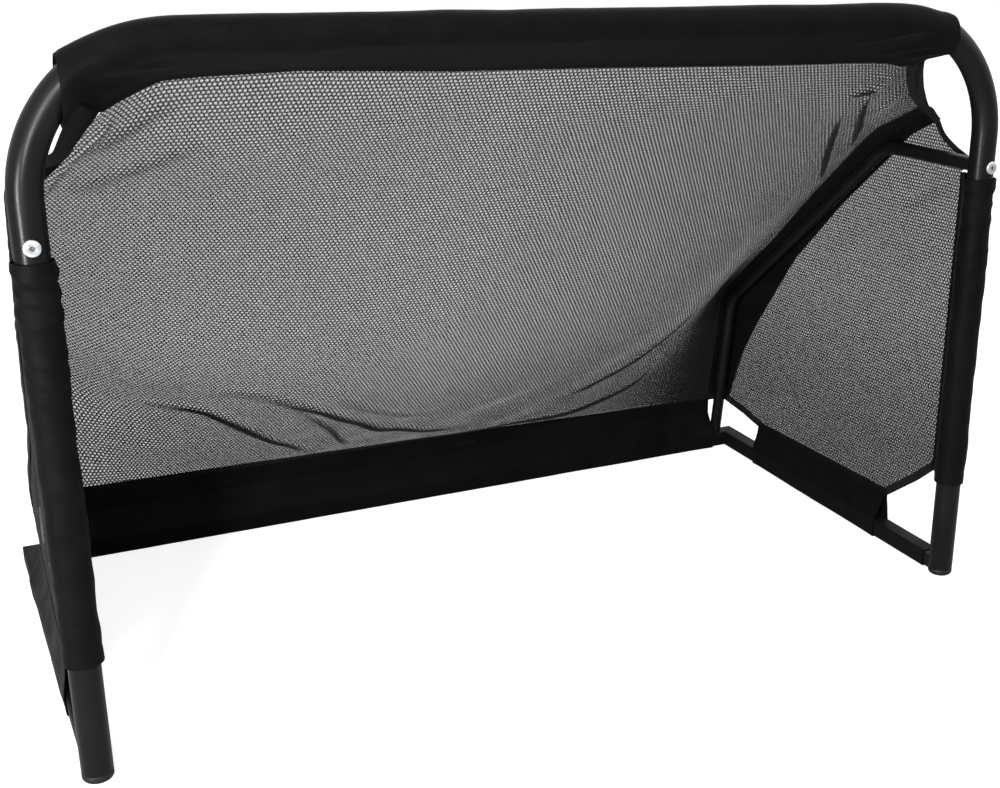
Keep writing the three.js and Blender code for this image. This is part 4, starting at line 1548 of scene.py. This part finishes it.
@dataclass
class Net:
    """The mesh panels, the corner bands over the arms and the edge bindings."""

    sleeves: Sleeves
    mesh: float = 0.0010
    band: float = 0.0026
    toe: float = 0.019
    seam_back: float = 0.048
    seam_out: float = 0.011
    over_arms: tuple[Pair, ...] = (
        (0.061, 0.725),
        (0.112, 0.655),
        (0.187, 0.606),
        (0.563, 0.290),
        (0.598, 0.0925),
    )
    inboard: tuple[Pair, ...] = (
        (0.116, 0.570),
        (0.167, 0.540),
        (0.315, 0.541),
        (0.420, 0.549),
        (0.563, 0.545),
        (0.642, 0.545),
    )
    inboard_left: tuple[Pair, ...] = (
        (0.101, 0.520),
        (0.130, 0.534),
        (0.162, 0.549),
        (0.200, 0.560),
        (0.420, 0.561),
        (0.563, 0.550),
        (0.642, 0.545),
    )
    band_edge: tuple[Pair, ...] = (
        (0.100, 0.637),
        (0.160, 0.607),
        (0.187, 0.5805),
        (0.3005, 0.4831),
        (0.4075, 0.3772),
        (0.5004, 0.2485),
        (0.5400, 0.1850),
        (0.5760, 0.0925),
    )
    upper_corners: dict[int, tuple[tuple[float, ...], tuple[float, ...]]] = field(
        default_factory=lambda: {
            1: ((0.061, 0.078, 0.094, 0.118), (0.505, 0.516, 0.538, 0.572)),
            -1: ((0.061, 0.078, 0.101), (0.495, 0.505, 0.520)),
        }
    )
    belly: float = 0.033
    belly_low: float = 0.020
    belly_fade: float = 2.9
    belly_half: float = 0.532
    overlap: float = 0.009
    tape: float = 0.0125
    tape_thick: float = 0.0024
    tape_points: int = 120
    hem_seat: Pair = (0.0625, 0.7215)  # depth and height that the rear sheet's hem is moved from
    creases: tuple[Fold, ...] = field(
        default_factory=lambda: (
            Fold(((-0.44, 0.655), (-0.35, 0.639), (-0.295, 0.681), (-0.205, 0.764), (-0.15, 0.80)),
                 0.0065, 0.0075, 0.9),
            Fold(((-0.245, 0.606), (-0.22, 0.631), (-0.175, 0.681), (-0.14, 0.751), (-0.095, 0.80)),
                 0.0055, 0.0075, 0.7),
            Fold(((-0.36, 0.585), (-0.29, 0.581), (-0.195, 0.627), (-0.095, 0.705), (0.055, 0.784),
                  (0.15, 0.815)), 0.0065, 0.0085, 0.8),
            Fold(((-0.20, 0.570), (-0.12, 0.639), (-0.04, 0.676), (0.045, 0.735)), 0.004, 0.010, 0.4),
            Fold(((0.02, 0.795), (0.15, 0.806), (0.25, 0.790), (0.365, 0.745), (0.42, 0.66)),
                 0.0075, 0.009, 1.0),
            Fold(((0.17, 0.745), (0.26, 0.693), (0.36, 0.650), (0.46, 0.600)), 0.0055, 0.008, 0.8),
            Fold(((0.185, 0.755), (0.23, 0.735), (0.27, 0.690)), 0.004, 0.006, 0.5),
            Fold(((0.485, 0.826), (0.505, 0.800), (0.53, 0.740)), 0.005, 0.006, 0.8),
            Fold(((0.445, 0.080), (0.45, 0.120), (0.47, 0.170), (0.49, 0.220), (0.527, 0.300)),
                 0.0065, 0.0065, 1.0),
            Fold(((0.478, 0.040), (0.465, 0.066), (0.475, 0.100), (0.50, 0.145), (0.53, 0.215)),
                 0.0065, 0.006, 0.9),
            Fold(((0.430, 0.068), (0.455, 0.060), (0.48, 0.046)), 0.004, 0.005, 0.8),
            Fold(((0.450, 0.028), (0.470, 0.034), (0.495, 0.028)), 0.004, 0.005, 0.7),
            Fold(((0.515, 0.050), (0.510, 0.075), (0.500, 0.105)), 0.0035, 0.006, 0.4),
            Fold(((0.430, 0.170), (0.455, 0.228), (0.47, 0.291), (0.50, 0.350)), 0.003, 0.009, 0.35),
            Fold(((0.380, 0.250), (0.400, 0.330), (0.44, 0.420)), 0.0025, 0.012, 0.2),
            Fold(((-0.520, 0.100), (-0.470, 0.060), (-0.42, 0.030)), 0.003, 0.008, 0.3),
            Fold(((-0.530, 0.180), (-0.460, 0.130), (-0.39, 0.090)), 0.0025, 0.010, 0.2),
        )
    )

    def lean(self, y: float) -> float:
        """The side panel's distance from the middle at a depth."""
        slope = self.toe / (0.588 - self.seam_back)
        return POST_X + self.seam_out - slope * (y - self.seam_back)

    @staticmethod
    def drawn_in(points: np.ndarray, side: Side) -> np.ndarray:
        """The left panel's upper front corner is drawn inboard by its tight binding.

        Args:
            points: The points on that side.
            side: The side that it is on.

        Returns:
            The moved points.
        """
        if side is Side.RIGHT:
            return points
        depth = points[..., 1]
        height = points[..., 2]
        slack = 0.003 + 0.004 * np.clip((depth - 0.187) / 0.376, 0, 1)
        slack = slack * np.clip((depth - 0.06) / 0.06, 0, 1) * np.clip((height - 0.13) / 0.08, 0, 1)
        above = np.exp(-(((depth - 0.12) / 0.07) ** 2)) * np.clip((height - 0.607) / 0.02, 0, 1)
        outer = np.clip((np.abs(points[..., 0]) - 0.555) / 0.015, 0, 1)
        moved = points.copy()
        moved[..., 0] += (slack + 0.0075 * above) * outer
        return moved

    def inboard_line(self, side: Side) -> Line:
        """The corner band's inboard edge on the rear sheet, as points of x and depth."""
        table = self.inboard if side is Side.RIGHT else self.inboard_left
        return softened(np.array(table)[:, ::-1], 0.012, 300)

    def ridge(self) -> Line:
        """The rear sheet's line over the arms, rounded at the arms' bends."""
        return softened(np.array(self.over_arms), 0.045, 400)

    def chord(self) -> tuple[np.ndarray, np.ndarray, np.ndarray, float]:
        """The straight line down the rear sheet: start, direction, direction below it and length.

        Returns:
            Those four, in depth and height.
        """
        start = np.array(self.over_arms[0])
        span = np.array(self.over_arms[-1]) - start
        length = float(np.linalg.norm(span))
        down = span / length
        below = np.array([down[1], -down[0]])
        return start, down, below, length

    def sheet_place(self, x: np.ndarray, place: np.ndarray) -> tuple[np.ndarray, np.ndarray]:
        """Depth and height of the rear sheet, sagging between the arms.

        Args:
            x: The distances to the right of the middle.
            place: The distances down the sheet, as shares of its length.

        Returns:
            The depths and the heights.
        """
        start, down, below, length = self.chord()
        ridge = self.ridge() - start
        over = np.interp(place, ridge @ down / length, ridge @ below)
        hang = self.belly * np.sin(np.pi * place) - self.belly_low * np.sin(2 * np.pi * place)
        fade = 1 - np.minimum(np.abs(x) / self.belly_half, 1) ** self.belly_fade
        depth = over + (hang - over) * fade
        run = place * length
        y = start[0] + down[0] * run + below[0] * depth
        z = start[1] + down[1] * run + below[1] * depth
        return y, z

    def rear_mesh(self, finish: Material) -> Piece:
        """The big rear panel: it hangs free between the arms, with its folds.

        Args:
            finish: Its material.

        Returns:
            The piece.
        """
        columns = 232
        rows = 176
        start, down, below, length = self.chord()
        places = np.concatenate([np.linspace(0, 1, rows - 3), 1 + np.arange(1, 5) * 0.006])
        shares = np.linspace(-1, 1, columns + 1)
        shares = (shares + np.sin(np.pi * shares / 2)) / 2
        edge_y, _ = self.sheet_place(np.full(rows + 1, 0.6), np.minimum(places, 1.0))
        hidden_from = {1: 0.125, -1: 0.098}
        limit = {}
        for sign, (depths, widths) in self.upper_corners.items():
            line = self.inboard_line(Side(sign))
            half = np.interp(edge_y, line[:, 1], line[:, 0])
            slant = np.interp(edge_y, depths, widths)
            under = np.clip((edge_y - hidden_from[sign]) / 0.02, 0, 1)
            limit[sign] = np.where(edge_y < depths[-1], slant, half) + self.overlap * under
        left = -limit[-1][:, None]
        right = limit[1][:, None]
        x = left + (right - left) * (shares[None, :] + 1) / 2
        place = np.repeat(places[:, None], columns + 1, axis=1)
        y, z = self.sheet_place(x, np.minimum(place, 1.0))
        inside = np.clip((0.545 - np.abs(x)) / 0.006, 0, 1)
        z = z - np.maximum(place - 1, 0) * length * inside
        ends = np.linspace(self.sleeves.top_left, self.sleeves.top_right, 120)
        tips = np.array([self.sleeves.top_tip(float(v)) for v in ends])
        near = np.clip(1 - place / 0.14, 0, 1) ** 2
        y = y + near * (np.interp(x, tips[:, 0], tips[:, 1]) - self.hem_seat[0])
        z = z + near * (np.interp(x, tips[:, 0], tips[:, 2]) - self.hem_seat[1])
        run = place * length
        fixed = np.clip(place / 0.06, 0, 1) * np.clip((1 - place) / 0.05, 0, 1)
        side = np.clip((np.minimum(x - left, right - x) - self.overlap) / 0.03, 0, 1)
        lift = Ripples(41, 0.0016, 0.10, 0.34, 70, 50).at(x, run) * fixed * side
        roll = np.clip((run - 0.02) / 0.03, 0, 1) * np.clip((0.185 - run) / 0.03, 0, 1)
        inward = x - left - self.overlap
        lift = lift + 0.0035 * roll * np.exp(-(((inward - 0.010) / 0.005) ** 2))
        lower = np.clip((place - 0.60) / 0.3, 0, 1)
        lift = lift + lower * Ripples(43, 0.0022, 0.05, 0.14, 70, 35).at(x, run) * fixed * side
        toward_right = np.clip((x + 0.05) / 0.55, 0, 1)
        bunch = 0.30 * lower + 0.42 * toward_right + 0.15 * lower * toward_right
        bunch = bunch + 0.30 * np.exp(-(((right - x) / 0.07) ** 2))
        bunch = bunch + 0.7 * roll * np.exp(-(((inward - 0.0125) / 0.003) ** 2))
        bunch = bunch - 0.4 * roll * np.exp(-(((inward - 0.004) / 0.005) ** 2))
        for crease in self.creases:
            strength = crease.strength(x, run) * np.sqrt(fixed * np.clip(side * 1.6, 0, 1))
            lift = lift + crease.height * strength
            bunch = np.maximum(bunch, 1.5 * crease.bunch * strength)
        y = y + below[0] * lift
        z = z + below[1] * lift
        points = np.stack([x, y, z], axis=-1)
        uv = np.stack([x + 0.6, run], axis=-1)
        piece = cloth_grid(points[::-1], uv[::-1], np.broadcast_to(bunch, x.shape)[::-1])
        thicken(piece, self.mesh)
        return settle(piece, "rear_knitted_panel", finish, Slot.MESH, ["rear_mesh"], 80)

    def side_limits(self, z: np.ndarray) -> tuple[np.ndarray, np.ndarray]:
        """The depths at which a side panel starts and ends at a height.

        Args:
            z: The heights.

        Returns:
            The depths of the front and the rear edge.
        """
        front = np.interp(
            z,
            [0.0735, 0.143, 0.5745, 0.586, 0.593, 0.601, 0.615, 0.637],
            [0.142, 0.0500, 0.0500, 0.026, 0.044, 0.066, 0.092, 0.104],
        )
        edge = softened(np.array(self.band_edge), 0.02, 300)[::-1]
        rear = np.interp(z, edge[:, 1], edge[:, 0])
        low = np.interp(z, [0.0735, 0.0925], [0.480, 0.576])
        rear = np.where(z < 0.0925, low, rear + self.overlap * np.clip((z - 0.0925) / 0.02, 0, 1))
        return front, np.maximum(rear, front + 0.001)

    def side_mesh(self, side: Side, finish: Material) -> Piece:
        """A side panel, stretched between the post, the band and the side rail.

        Args:
            side: The side that it is on.
            finish: Its material.

        Returns:
            The piece.
        """
        rows = 110
        columns = 96
        heights = np.linspace(0.0690, 0.637, rows + 1)
        front, rear = self.side_limits(np.maximum(heights, 0.0735))
        share = np.linspace(0, 1, columns + 1)[None, :]
        y = front[:, None] + (rear - front)[:, None] * share
        z = np.repeat(heights[:, None], columns + 1, axis=1)
        seed = 51 if side is Side.RIGHT else 61
        free = np.sin(np.pi * share) ** 0.6 * np.clip((z - 0.08) / 0.03, 0, 1)
        lift = Ripples(seed, 0.0016, 0.08, 0.26, 130, 40).at(y, z)
        low = np.clip((0.36 - z) / 0.2, 0, 1)
        lift = lift + low * Ripples(seed + 1, 0.0018, 0.05, 0.13, 130, 25).at(y, z)
        creases = (
            Fold(((0.500, 0.250), (0.420, 0.180), (0.330, 0.090)), 0.0040, 0.008, 0.6),
            Fold(((0.540, 0.170), (0.490, 0.130), (0.430, 0.085)), 0.0040, 0.007, 0.6),
            Fold(((0.400, 0.370), (0.360, 0.290), (0.330, 0.200)), 0.0025, 0.010, 0.3),
            Fold(((0.060, 0.560), (0.120, 0.520), (0.170, 0.500)), 0.0020, 0.009, 0.2),
        )
        bunch = 0.42 * low
        for crease in creases:
            strength = crease.strength(y, z) * free
            lift = lift + crease.height * strength
            bunch = np.maximum(bunch, crease.bunch * strength)
        x = np.vectorize(self.lean)(y) + np.where(free > 0, lift * free, 0)
        points = self.drawn_in(np.stack([side.value * x, y, z], axis=-1), side)
        uv = np.stack([y, z], axis=-1)
        piece = cloth_grid(points, uv, np.broadcast_to(bunch, y.shape))
        thicken(piece, self.mesh)
        name = f"{side.label}_side_knitted_panel"
        return settle(piece, name, finish, Slot.MESH, [f"{side.label}_side_mesh"], 80)

    def corner_band(self, side: Side, finish: Material) -> Piece:
        """The cloth over an arm: one limb on the rear sheet, one on the side panel.

        Args:
            side: The side that it is on.
            finish: Its material.

        Returns:
            The piece.
        """
        columns = 170
        ridge = self.ridge()
        ridge = resample(ridge[ridge[:, 0] >= 0.112], columns + 1)
        travel = along(ridge)
        keys = [float(travel[np.abs(ridge[:, 0] - depth).argmin()]) for depth in (0.112, 0.187, 0.563)]
        keys.append(float(travel[-1]))
        edge = softened(np.array(self.band_edge), 0.02, 300)
        edge_travel = along(edge)
        edge_keys = [0.0]
        for corner in ((0.176, 0.592), (0.478, 0.283)):
            edge_keys.append(float(edge_travel[np.linalg.norm(edge - corner, axis=1).argmin()]))
        edge_keys.append(float(edge_travel[-1]))
        at_edge = np.interp(travel, keys, edge_keys)
        on_side = np.stack([np.interp(at_edge, edge_travel, edge[:, k]) for k in (0, 1)], axis=1)
        table = self.inboard_line(side)
        depth = np.interp(travel, keys, [0.116, 0.170, 0.563, 0.598])
        inboard_x = np.interp(depth, table[:, 1], table[:, 0])
        whole = self.ridge()
        inboard_z = np.interp(depth, whole[:, 0], whole[:, 1])
        corner_x = np.array([self.lean(v) for v in ridge[:, 0]]) + 0.0006
        side_x = np.array([self.lean(v) for v in on_side[:, 0]])
        first = np.stack([side_x, on_side[:, 0], on_side[:, 1]], axis=1)
        fold = np.stack([corner_x, ridge[:, 0], ridge[:, 1]], axis=1)
        pulled = np.exp(-travel / 0.022)[:, None]
        fold = fold + pulled * np.array([-0.005, 0.001, -0.008])
        last = np.stack([inboard_x, depth, inboard_z], axis=1)
        half = 14
        shares = np.linspace(0, 1, half + 1)
        limb = [first + (fold - first) * s for s in shares]
        limb += [fold + (last - fold) * s for s in shares[1:]]
        points = np.stack(limb)
        for _ in range(3):
            points[1:-1] = (points[:-2] + 2 * points[1:-1] + points[2:]) / 4
        uv = measured_uv(points)
        across = uv[..., 1]
        run = uv[..., 0]
        inner = np.sin(np.pi * np.linspace(0, 1, 2 * half + 1))[:, None]
        wave = Ripples(71 + side.value, 0.0013, 0.03, 0.12, 10, 50).at(run, across) * inner
        tangent = np.gradient(points, axis=1)
        bow = np.gradient(points, axis=0)
        normal = np.cross(tangent, bow)
        normal /= np.linalg.norm(normal, axis=2)[..., None] + 1e-12
        outward_sign = np.sign(normal[half, columns // 2, 0])
        rolled = 0.0005 * np.exp(-(((np.minimum(across, across.max() - across)) / 0.004) ** 2))
        points = points + normal * outward_sign * (np.abs(wave) + rolled)[..., None]
        points[..., 0] *= side.value
        piece = cloth_grid(self.drawn_in(points, side), uv)
        thicken(piece, self.band)
        name = f"{side.label}_arm_cloth_band"
        return settle(piece, name, finish, Slot.CLOTH, [f"{side.label}_corner_band"], 60)

    def tape_route(self, points: np.ndarray) -> Line:
        """A tape's even route through a few points, with its corners rounded."""
        return resample(softened(points, 0.012, 200), self.tape_points)

    def tape_along(
        self,
        line: Line,
        face: np.ndarray,
        widths: Sequence[float],
        name: str,
        node: str,
        finish: Material,
    ) -> Piece:
        """A folded tape along an edge, flat across the direction that its face points to.

        Args:
            line: A few points that the tape passes through.
            face: The way that the tape faces, at each point.
            widths: Its widths, evenly spaced along it.
            name: The piece's name.
            node: The CAD node that it replaces.
            finish: Its material.

        Returns:
            The piece.
        """
        line = self.tape_route(line)
        tangent = np.gradient(line, axis=0)
        tangent /= np.linalg.norm(tangent, axis=1)[:, None]
        normal = face - (face * tangent).sum(axis=1)[:, None] * tangent
        normal /= np.linalg.norm(normal, axis=1)[:, None]
        across = np.cross(tangent, normal)
        around = np.linspace(0, 2 * math.pi, 25)
        flat = np.sign(np.cos(around)) * np.abs(np.cos(around)) ** 0.45 / 2
        high = np.sign(np.sin(around)) * np.abs(np.sin(around)) ** 0.6 * self.tape_thick / 2
        width = np.interp(
            np.linspace(0, 1, self.tape_points), np.linspace(0, 1, len(widths)), widths
        )
        rings = line[None] + flat[:, None, None] * (across * width[:, None])[None]
        rings = rings + high[:, None, None] * normal[None]
        uv = measured_uv(rings)
        wave = Ripples(81, 0.0004, 0.012, 0.05, 0, 10).at(uv[..., 0], uv[..., 1])
        rings = rings + normal[None] * wave[..., None]
        piece = cloth_grid(rings, uv)
        clean(piece)
        return settle(piece, name, finish, Slot.TAPE, [node], 60)

    def bindings(self, side: Side, finish: Material) -> list[Piece]:
        """The three tapes at a side: round the bend's opening, at the front foot and at the rear.

        Args:
            side: The side that it is on.
            finish: Its material.

        Returns:
            The three pieces.
        """
        shared = [
            (0.5895, 0.104, 0.637),
            (0.5920, 0.092, 0.6175),
            (0.5932, 0.066, 0.6025),
            (0.5940, 0.044, 0.5945),
            (0.5946, 0.024, 0.5880),
        ]
        if side is Side.RIGHT:
            sheet_part = [
                (0.507, 0.056, 0.732),
                (0.5215, 0.076, 0.704),
                (0.543, 0.095, 0.678),
                (0.573, 0.1135, 0.653),
            ]
            widths = [0.026, 0.025, 0.021, 0.013, 0.009, 0.008, 0.008]
        else:
            sheet_part = [
                (0.500, 0.060, 0.726),
                (0.5135, 0.081, 0.698),
                (0.5265, 0.098, 0.674),
                (0.5365, 0.115, 0.652),
                (0.560, 0.120, 0.645),
            ]
            widths = [0.030, 0.026, 0.018, 0.014, 0.009, 0.008, 0.008]
        opening = np.array(sheet_part + shared)
        lower = np.array([(0.5935, 0.047, 0.148), (0.5925, 0.080, 0.119), (0.5905, 0.148, 0.068)])
        rear = np.array(
            [
                (self.lean(0.474), 0.474, 0.071),
                (self.lean(0.530), 0.530, 0.082),
                (self.lean(0.590), 0.593, 0.090),
                (0.540, 0.599, 0.089),
            ]
        )
        on_sheet = np.array([0.0, 0.78, 0.62])
        on_side = np.array([1.0, 0.0, 0.0])
        on_sleeve = np.array([0.0, 1.0, 0.17])
        turn = np.clip((self.tape_route(opening)[:, 0] - 0.565) / 0.025, 0, 1)[:, None]
        back = np.clip((self.tape_route(rear)[:, 1] - 0.575) / 0.02, 0, 1)[:, None]
        mirror = np.array([side.value, 1, 1])
        made = []
        for key, points, face, width, node in (
            ("opening", opening, on_sheet * (1 - turn) + on_side * turn, widths, "top_binding"),
            ("lower", lower, on_side * np.ones_like(turn), [self.tape], "front_binding"),
            ("rear", rear, on_side * (1 - back) + on_sleeve * back, [self.tape], "rear_binding"),
        ):
            line = self.drawn_in(points * mirror, side)
            name = f"{side.label}_{key}_edge_tape"
            node = f"{side.label}_{node}"
            made.append(self.tape_along(line, face * mirror, width, name, node, finish))
        return made

    def build(
        self, rear_knit: Material, side_knit: Material, cloth: Material, tape: Material
    ) -> None:
        """Builds the net.

        Args:
            rear_knit: The rear panel's material.
            side_knit: The side panels' material.
            cloth: The sleeves' and bands' material.
            tape: The tapes' material.
        """
        rear = self.rear_mesh(rear_knit)
        top = self.sleeves.top(cloth)
        rear_sleeve = self.sleeves.rear(cloth)
        for side in Side:
            panel = self.side_mesh(side, side_knit)
            band = self.corner_band(side, cloth)
            post = self.sleeves.post(side, cloth)
            low = self.sleeves.side(side, self.lean, cloth)
            opening, lower, back = self.bindings(side, tape)


# ---- Floor, light and camera ----


@dataclass
class Studio:
    """A white floor and backdrop, even lamps and the camera."""

    position: Place = (-0.6996, -1.7050, 0.8940)
    heading: float = -27.99
    pitch: float = 19.71
    roll: float = 0.99
    lens: float = 50.55
    shift: Pair = (-0.120, 0.0229)
    ambient: float = 0.45
    lamps: tuple[tuple[str, float, float, float, float], ...] = (
        ("key", 1.0, 50, -35, 52),
        ("fill", 0.7, 60, 60, 40),
        ("back", 0.7, 60, 160, 50),
    )
    strips: tuple[tuple[Place, Place, float, float, float], ...] = (
        ((-1.32, -1.96, 1.15), (0.0, 0.0, 0.4), 0.20, 0.90, 58.0),
        ((-1.82, -1.28, 0.42), (0.58, -0.29, 0.6), 0.18, 0.50, 36.0),
    )

    def world(self) -> None:
        """White where the camera, a gloss or a pane sees it, and a plain grey sky for light."""
        world = bpy.data.worlds.new("white_sweep")
        bpy.context.scene.world = world
        world.use_nodes = True
        tree = world.node_tree
        tree.nodes.clear()
        rays = ("Is Glossy Ray", "Is Transmission Ray", "Is Camera Ray")
        glossy, through, straight = (add_node(tree, "LightPath", output=ray) for ray in rays)
        either = add_node(tree, "Math", [glossy, through], operation="MAXIMUM")
        seen = add_node(tree, "Math", [straight, either], operation="MAXIMUM")
        strength = add_node(tree, "MapRange", {"Value": seen, "To Min": self.ambient, "To Max": 1.0})
        sky = add_node(tree, "Background", {"Color": (1, 1, 1, 1), "Strength": strength})
        add_node(tree, "OutputWorld", {"Surface": sky})

    def floor(self) -> None:
        """A large pale floor that shows as white where it is lit, with the shadow kept."""
        finish = Finish("white_paper_floor")
        camera = finish.add("LightPath", output="Is Camera Ray")
        place = finish.add("TexCoord", output="Object")
        grain = finish.add("TexNoise", {"Vector": place, "Scale": 3.0})
        paper = finish.dressed(
            Base_Color=finish.add("Mix", {0: grain, 6: srgb("#bcbcbc"), 7: srgb("#bebebe")}, 2, **COLOURS),
            Roughness=0.9,
            Specular_IOR_Level=0.0,
            Emission_Color=(1, 1, 1, 1),
            Emission_Strength=finish.add("Math", [camera, 0.80], operation="MULTIPLY"),
        )
        deselect_all()
        bpy.ops.mesh.primitive_plane_add(size=16, location=(0, 0, 0))
        floor = bpy.context.active_object
        floor.name = "paper_floor"
        floor.data.materials.append(paper)

    def lights(self) -> None:
        """Broad suns from the front and the back, and two tall strips beside the camera."""
        for name, energy, spread, azimuth, elevation in self.lamps:
            turn = Euler((math.radians(90 - elevation), 0, math.radians(azimuth)))
            deselect_all()
            bpy.ops.object.light_add(type="SUN", location=(0, 0, 3), rotation=turn)
            lamp = bpy.context.active_object
            lamp.name = f"{name}_sun"
            lamp.data.energy = energy
            lamp.data.angle = math.radians(spread)
        for place, aim, width, height, power in self.strips:
            deselect_all()
            turn = (Vector(aim) - Vector(place)).to_track_quat("-Z", "Y").to_euler()
            bpy.ops.object.light_add(type="AREA", location=place, rotation=turn)
            strip = bpy.context.active_object
            strip.name = "strip_light"
            strip.data.shape = "RECTANGLE"
            strip.data.size = width
            strip.data.size_y = height
            strip.data.energy = power

    def camera(self) -> None:
        """The view from the front left, looking down into the goal."""
        turn = Matrix.Rotation(math.radians(self.heading), 3, "Z")
        turn = turn @ Matrix.Rotation(math.radians(90 - self.pitch), 3, "X")
        turn = turn @ Matrix.Rotation(math.radians(self.roll), 3, "Z")
        deselect_all()
        bpy.ops.object.camera_add(location=self.position, rotation=turn.to_euler())
        camera = bpy.context.active_object
        camera.data.lens = self.lens
        camera.data.sensor_width = 36
        camera.data.shift_x, camera.data.shift_y = self.shift
        bpy.context.scene.camera = camera

    def build(self) -> None:
        """Builds the studio."""
        self.world()
        self.floor()
        self.lights()
        self.camera()
        bpy.context.scene.view_settings.view_transform = "Standard"


def coat_hidden(coat: Material, zinc: Material) -> None:
    """Gives the CAD nodes that stay their finishes.

    Args:
        coat: The steel tubes' material.
        zinc: The bolts' material.
    """
    finishes = {"foot_stub": coat, "arm_spigot": coat, "arm_plug": zinc}
    for side in Side:
        for part, finish in finishes.items():
            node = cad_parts[f"{side.label}_{part}"]
            node.data.materials.clear()
            node.data.materials.append(finish)


def main() -> None:
    """Builds the goal and its studio."""
    coat = PowderCoat().make()
    plastic = MouldedPlastic().make()
    zinc = ZincPlate().make()
    cloth = OxfordCloth().make()
    tape = WovenTape().make()
    rear_knit = KnittedMesh("black_warp_knitted_mesh", 0.00185).make()
    side_knit = KnittedMesh("black_warp_knitted_mesh_sides", 0.0016, pinholes=0.525).make()
    Hoop().build(coat, plastic)
    dull = PowderCoat("rubbed_black_powder_coat_on_steel", roughness=0.5, specular=0.05)
    Base().build(dull.make())
    # The sockets' darker material is painted shade.
    Arms().build(coat, zinc, SocketShade().make())
    coat_hidden(coat, zinc)
    Net(Sleeves()).build(rear_knit, side_knit, cloth, tape)
    Studio().build()


if __name__ == "__main__":
    logging.basicConfig(level=logging.INFO, format="%(name)s %(message)s")
    main()
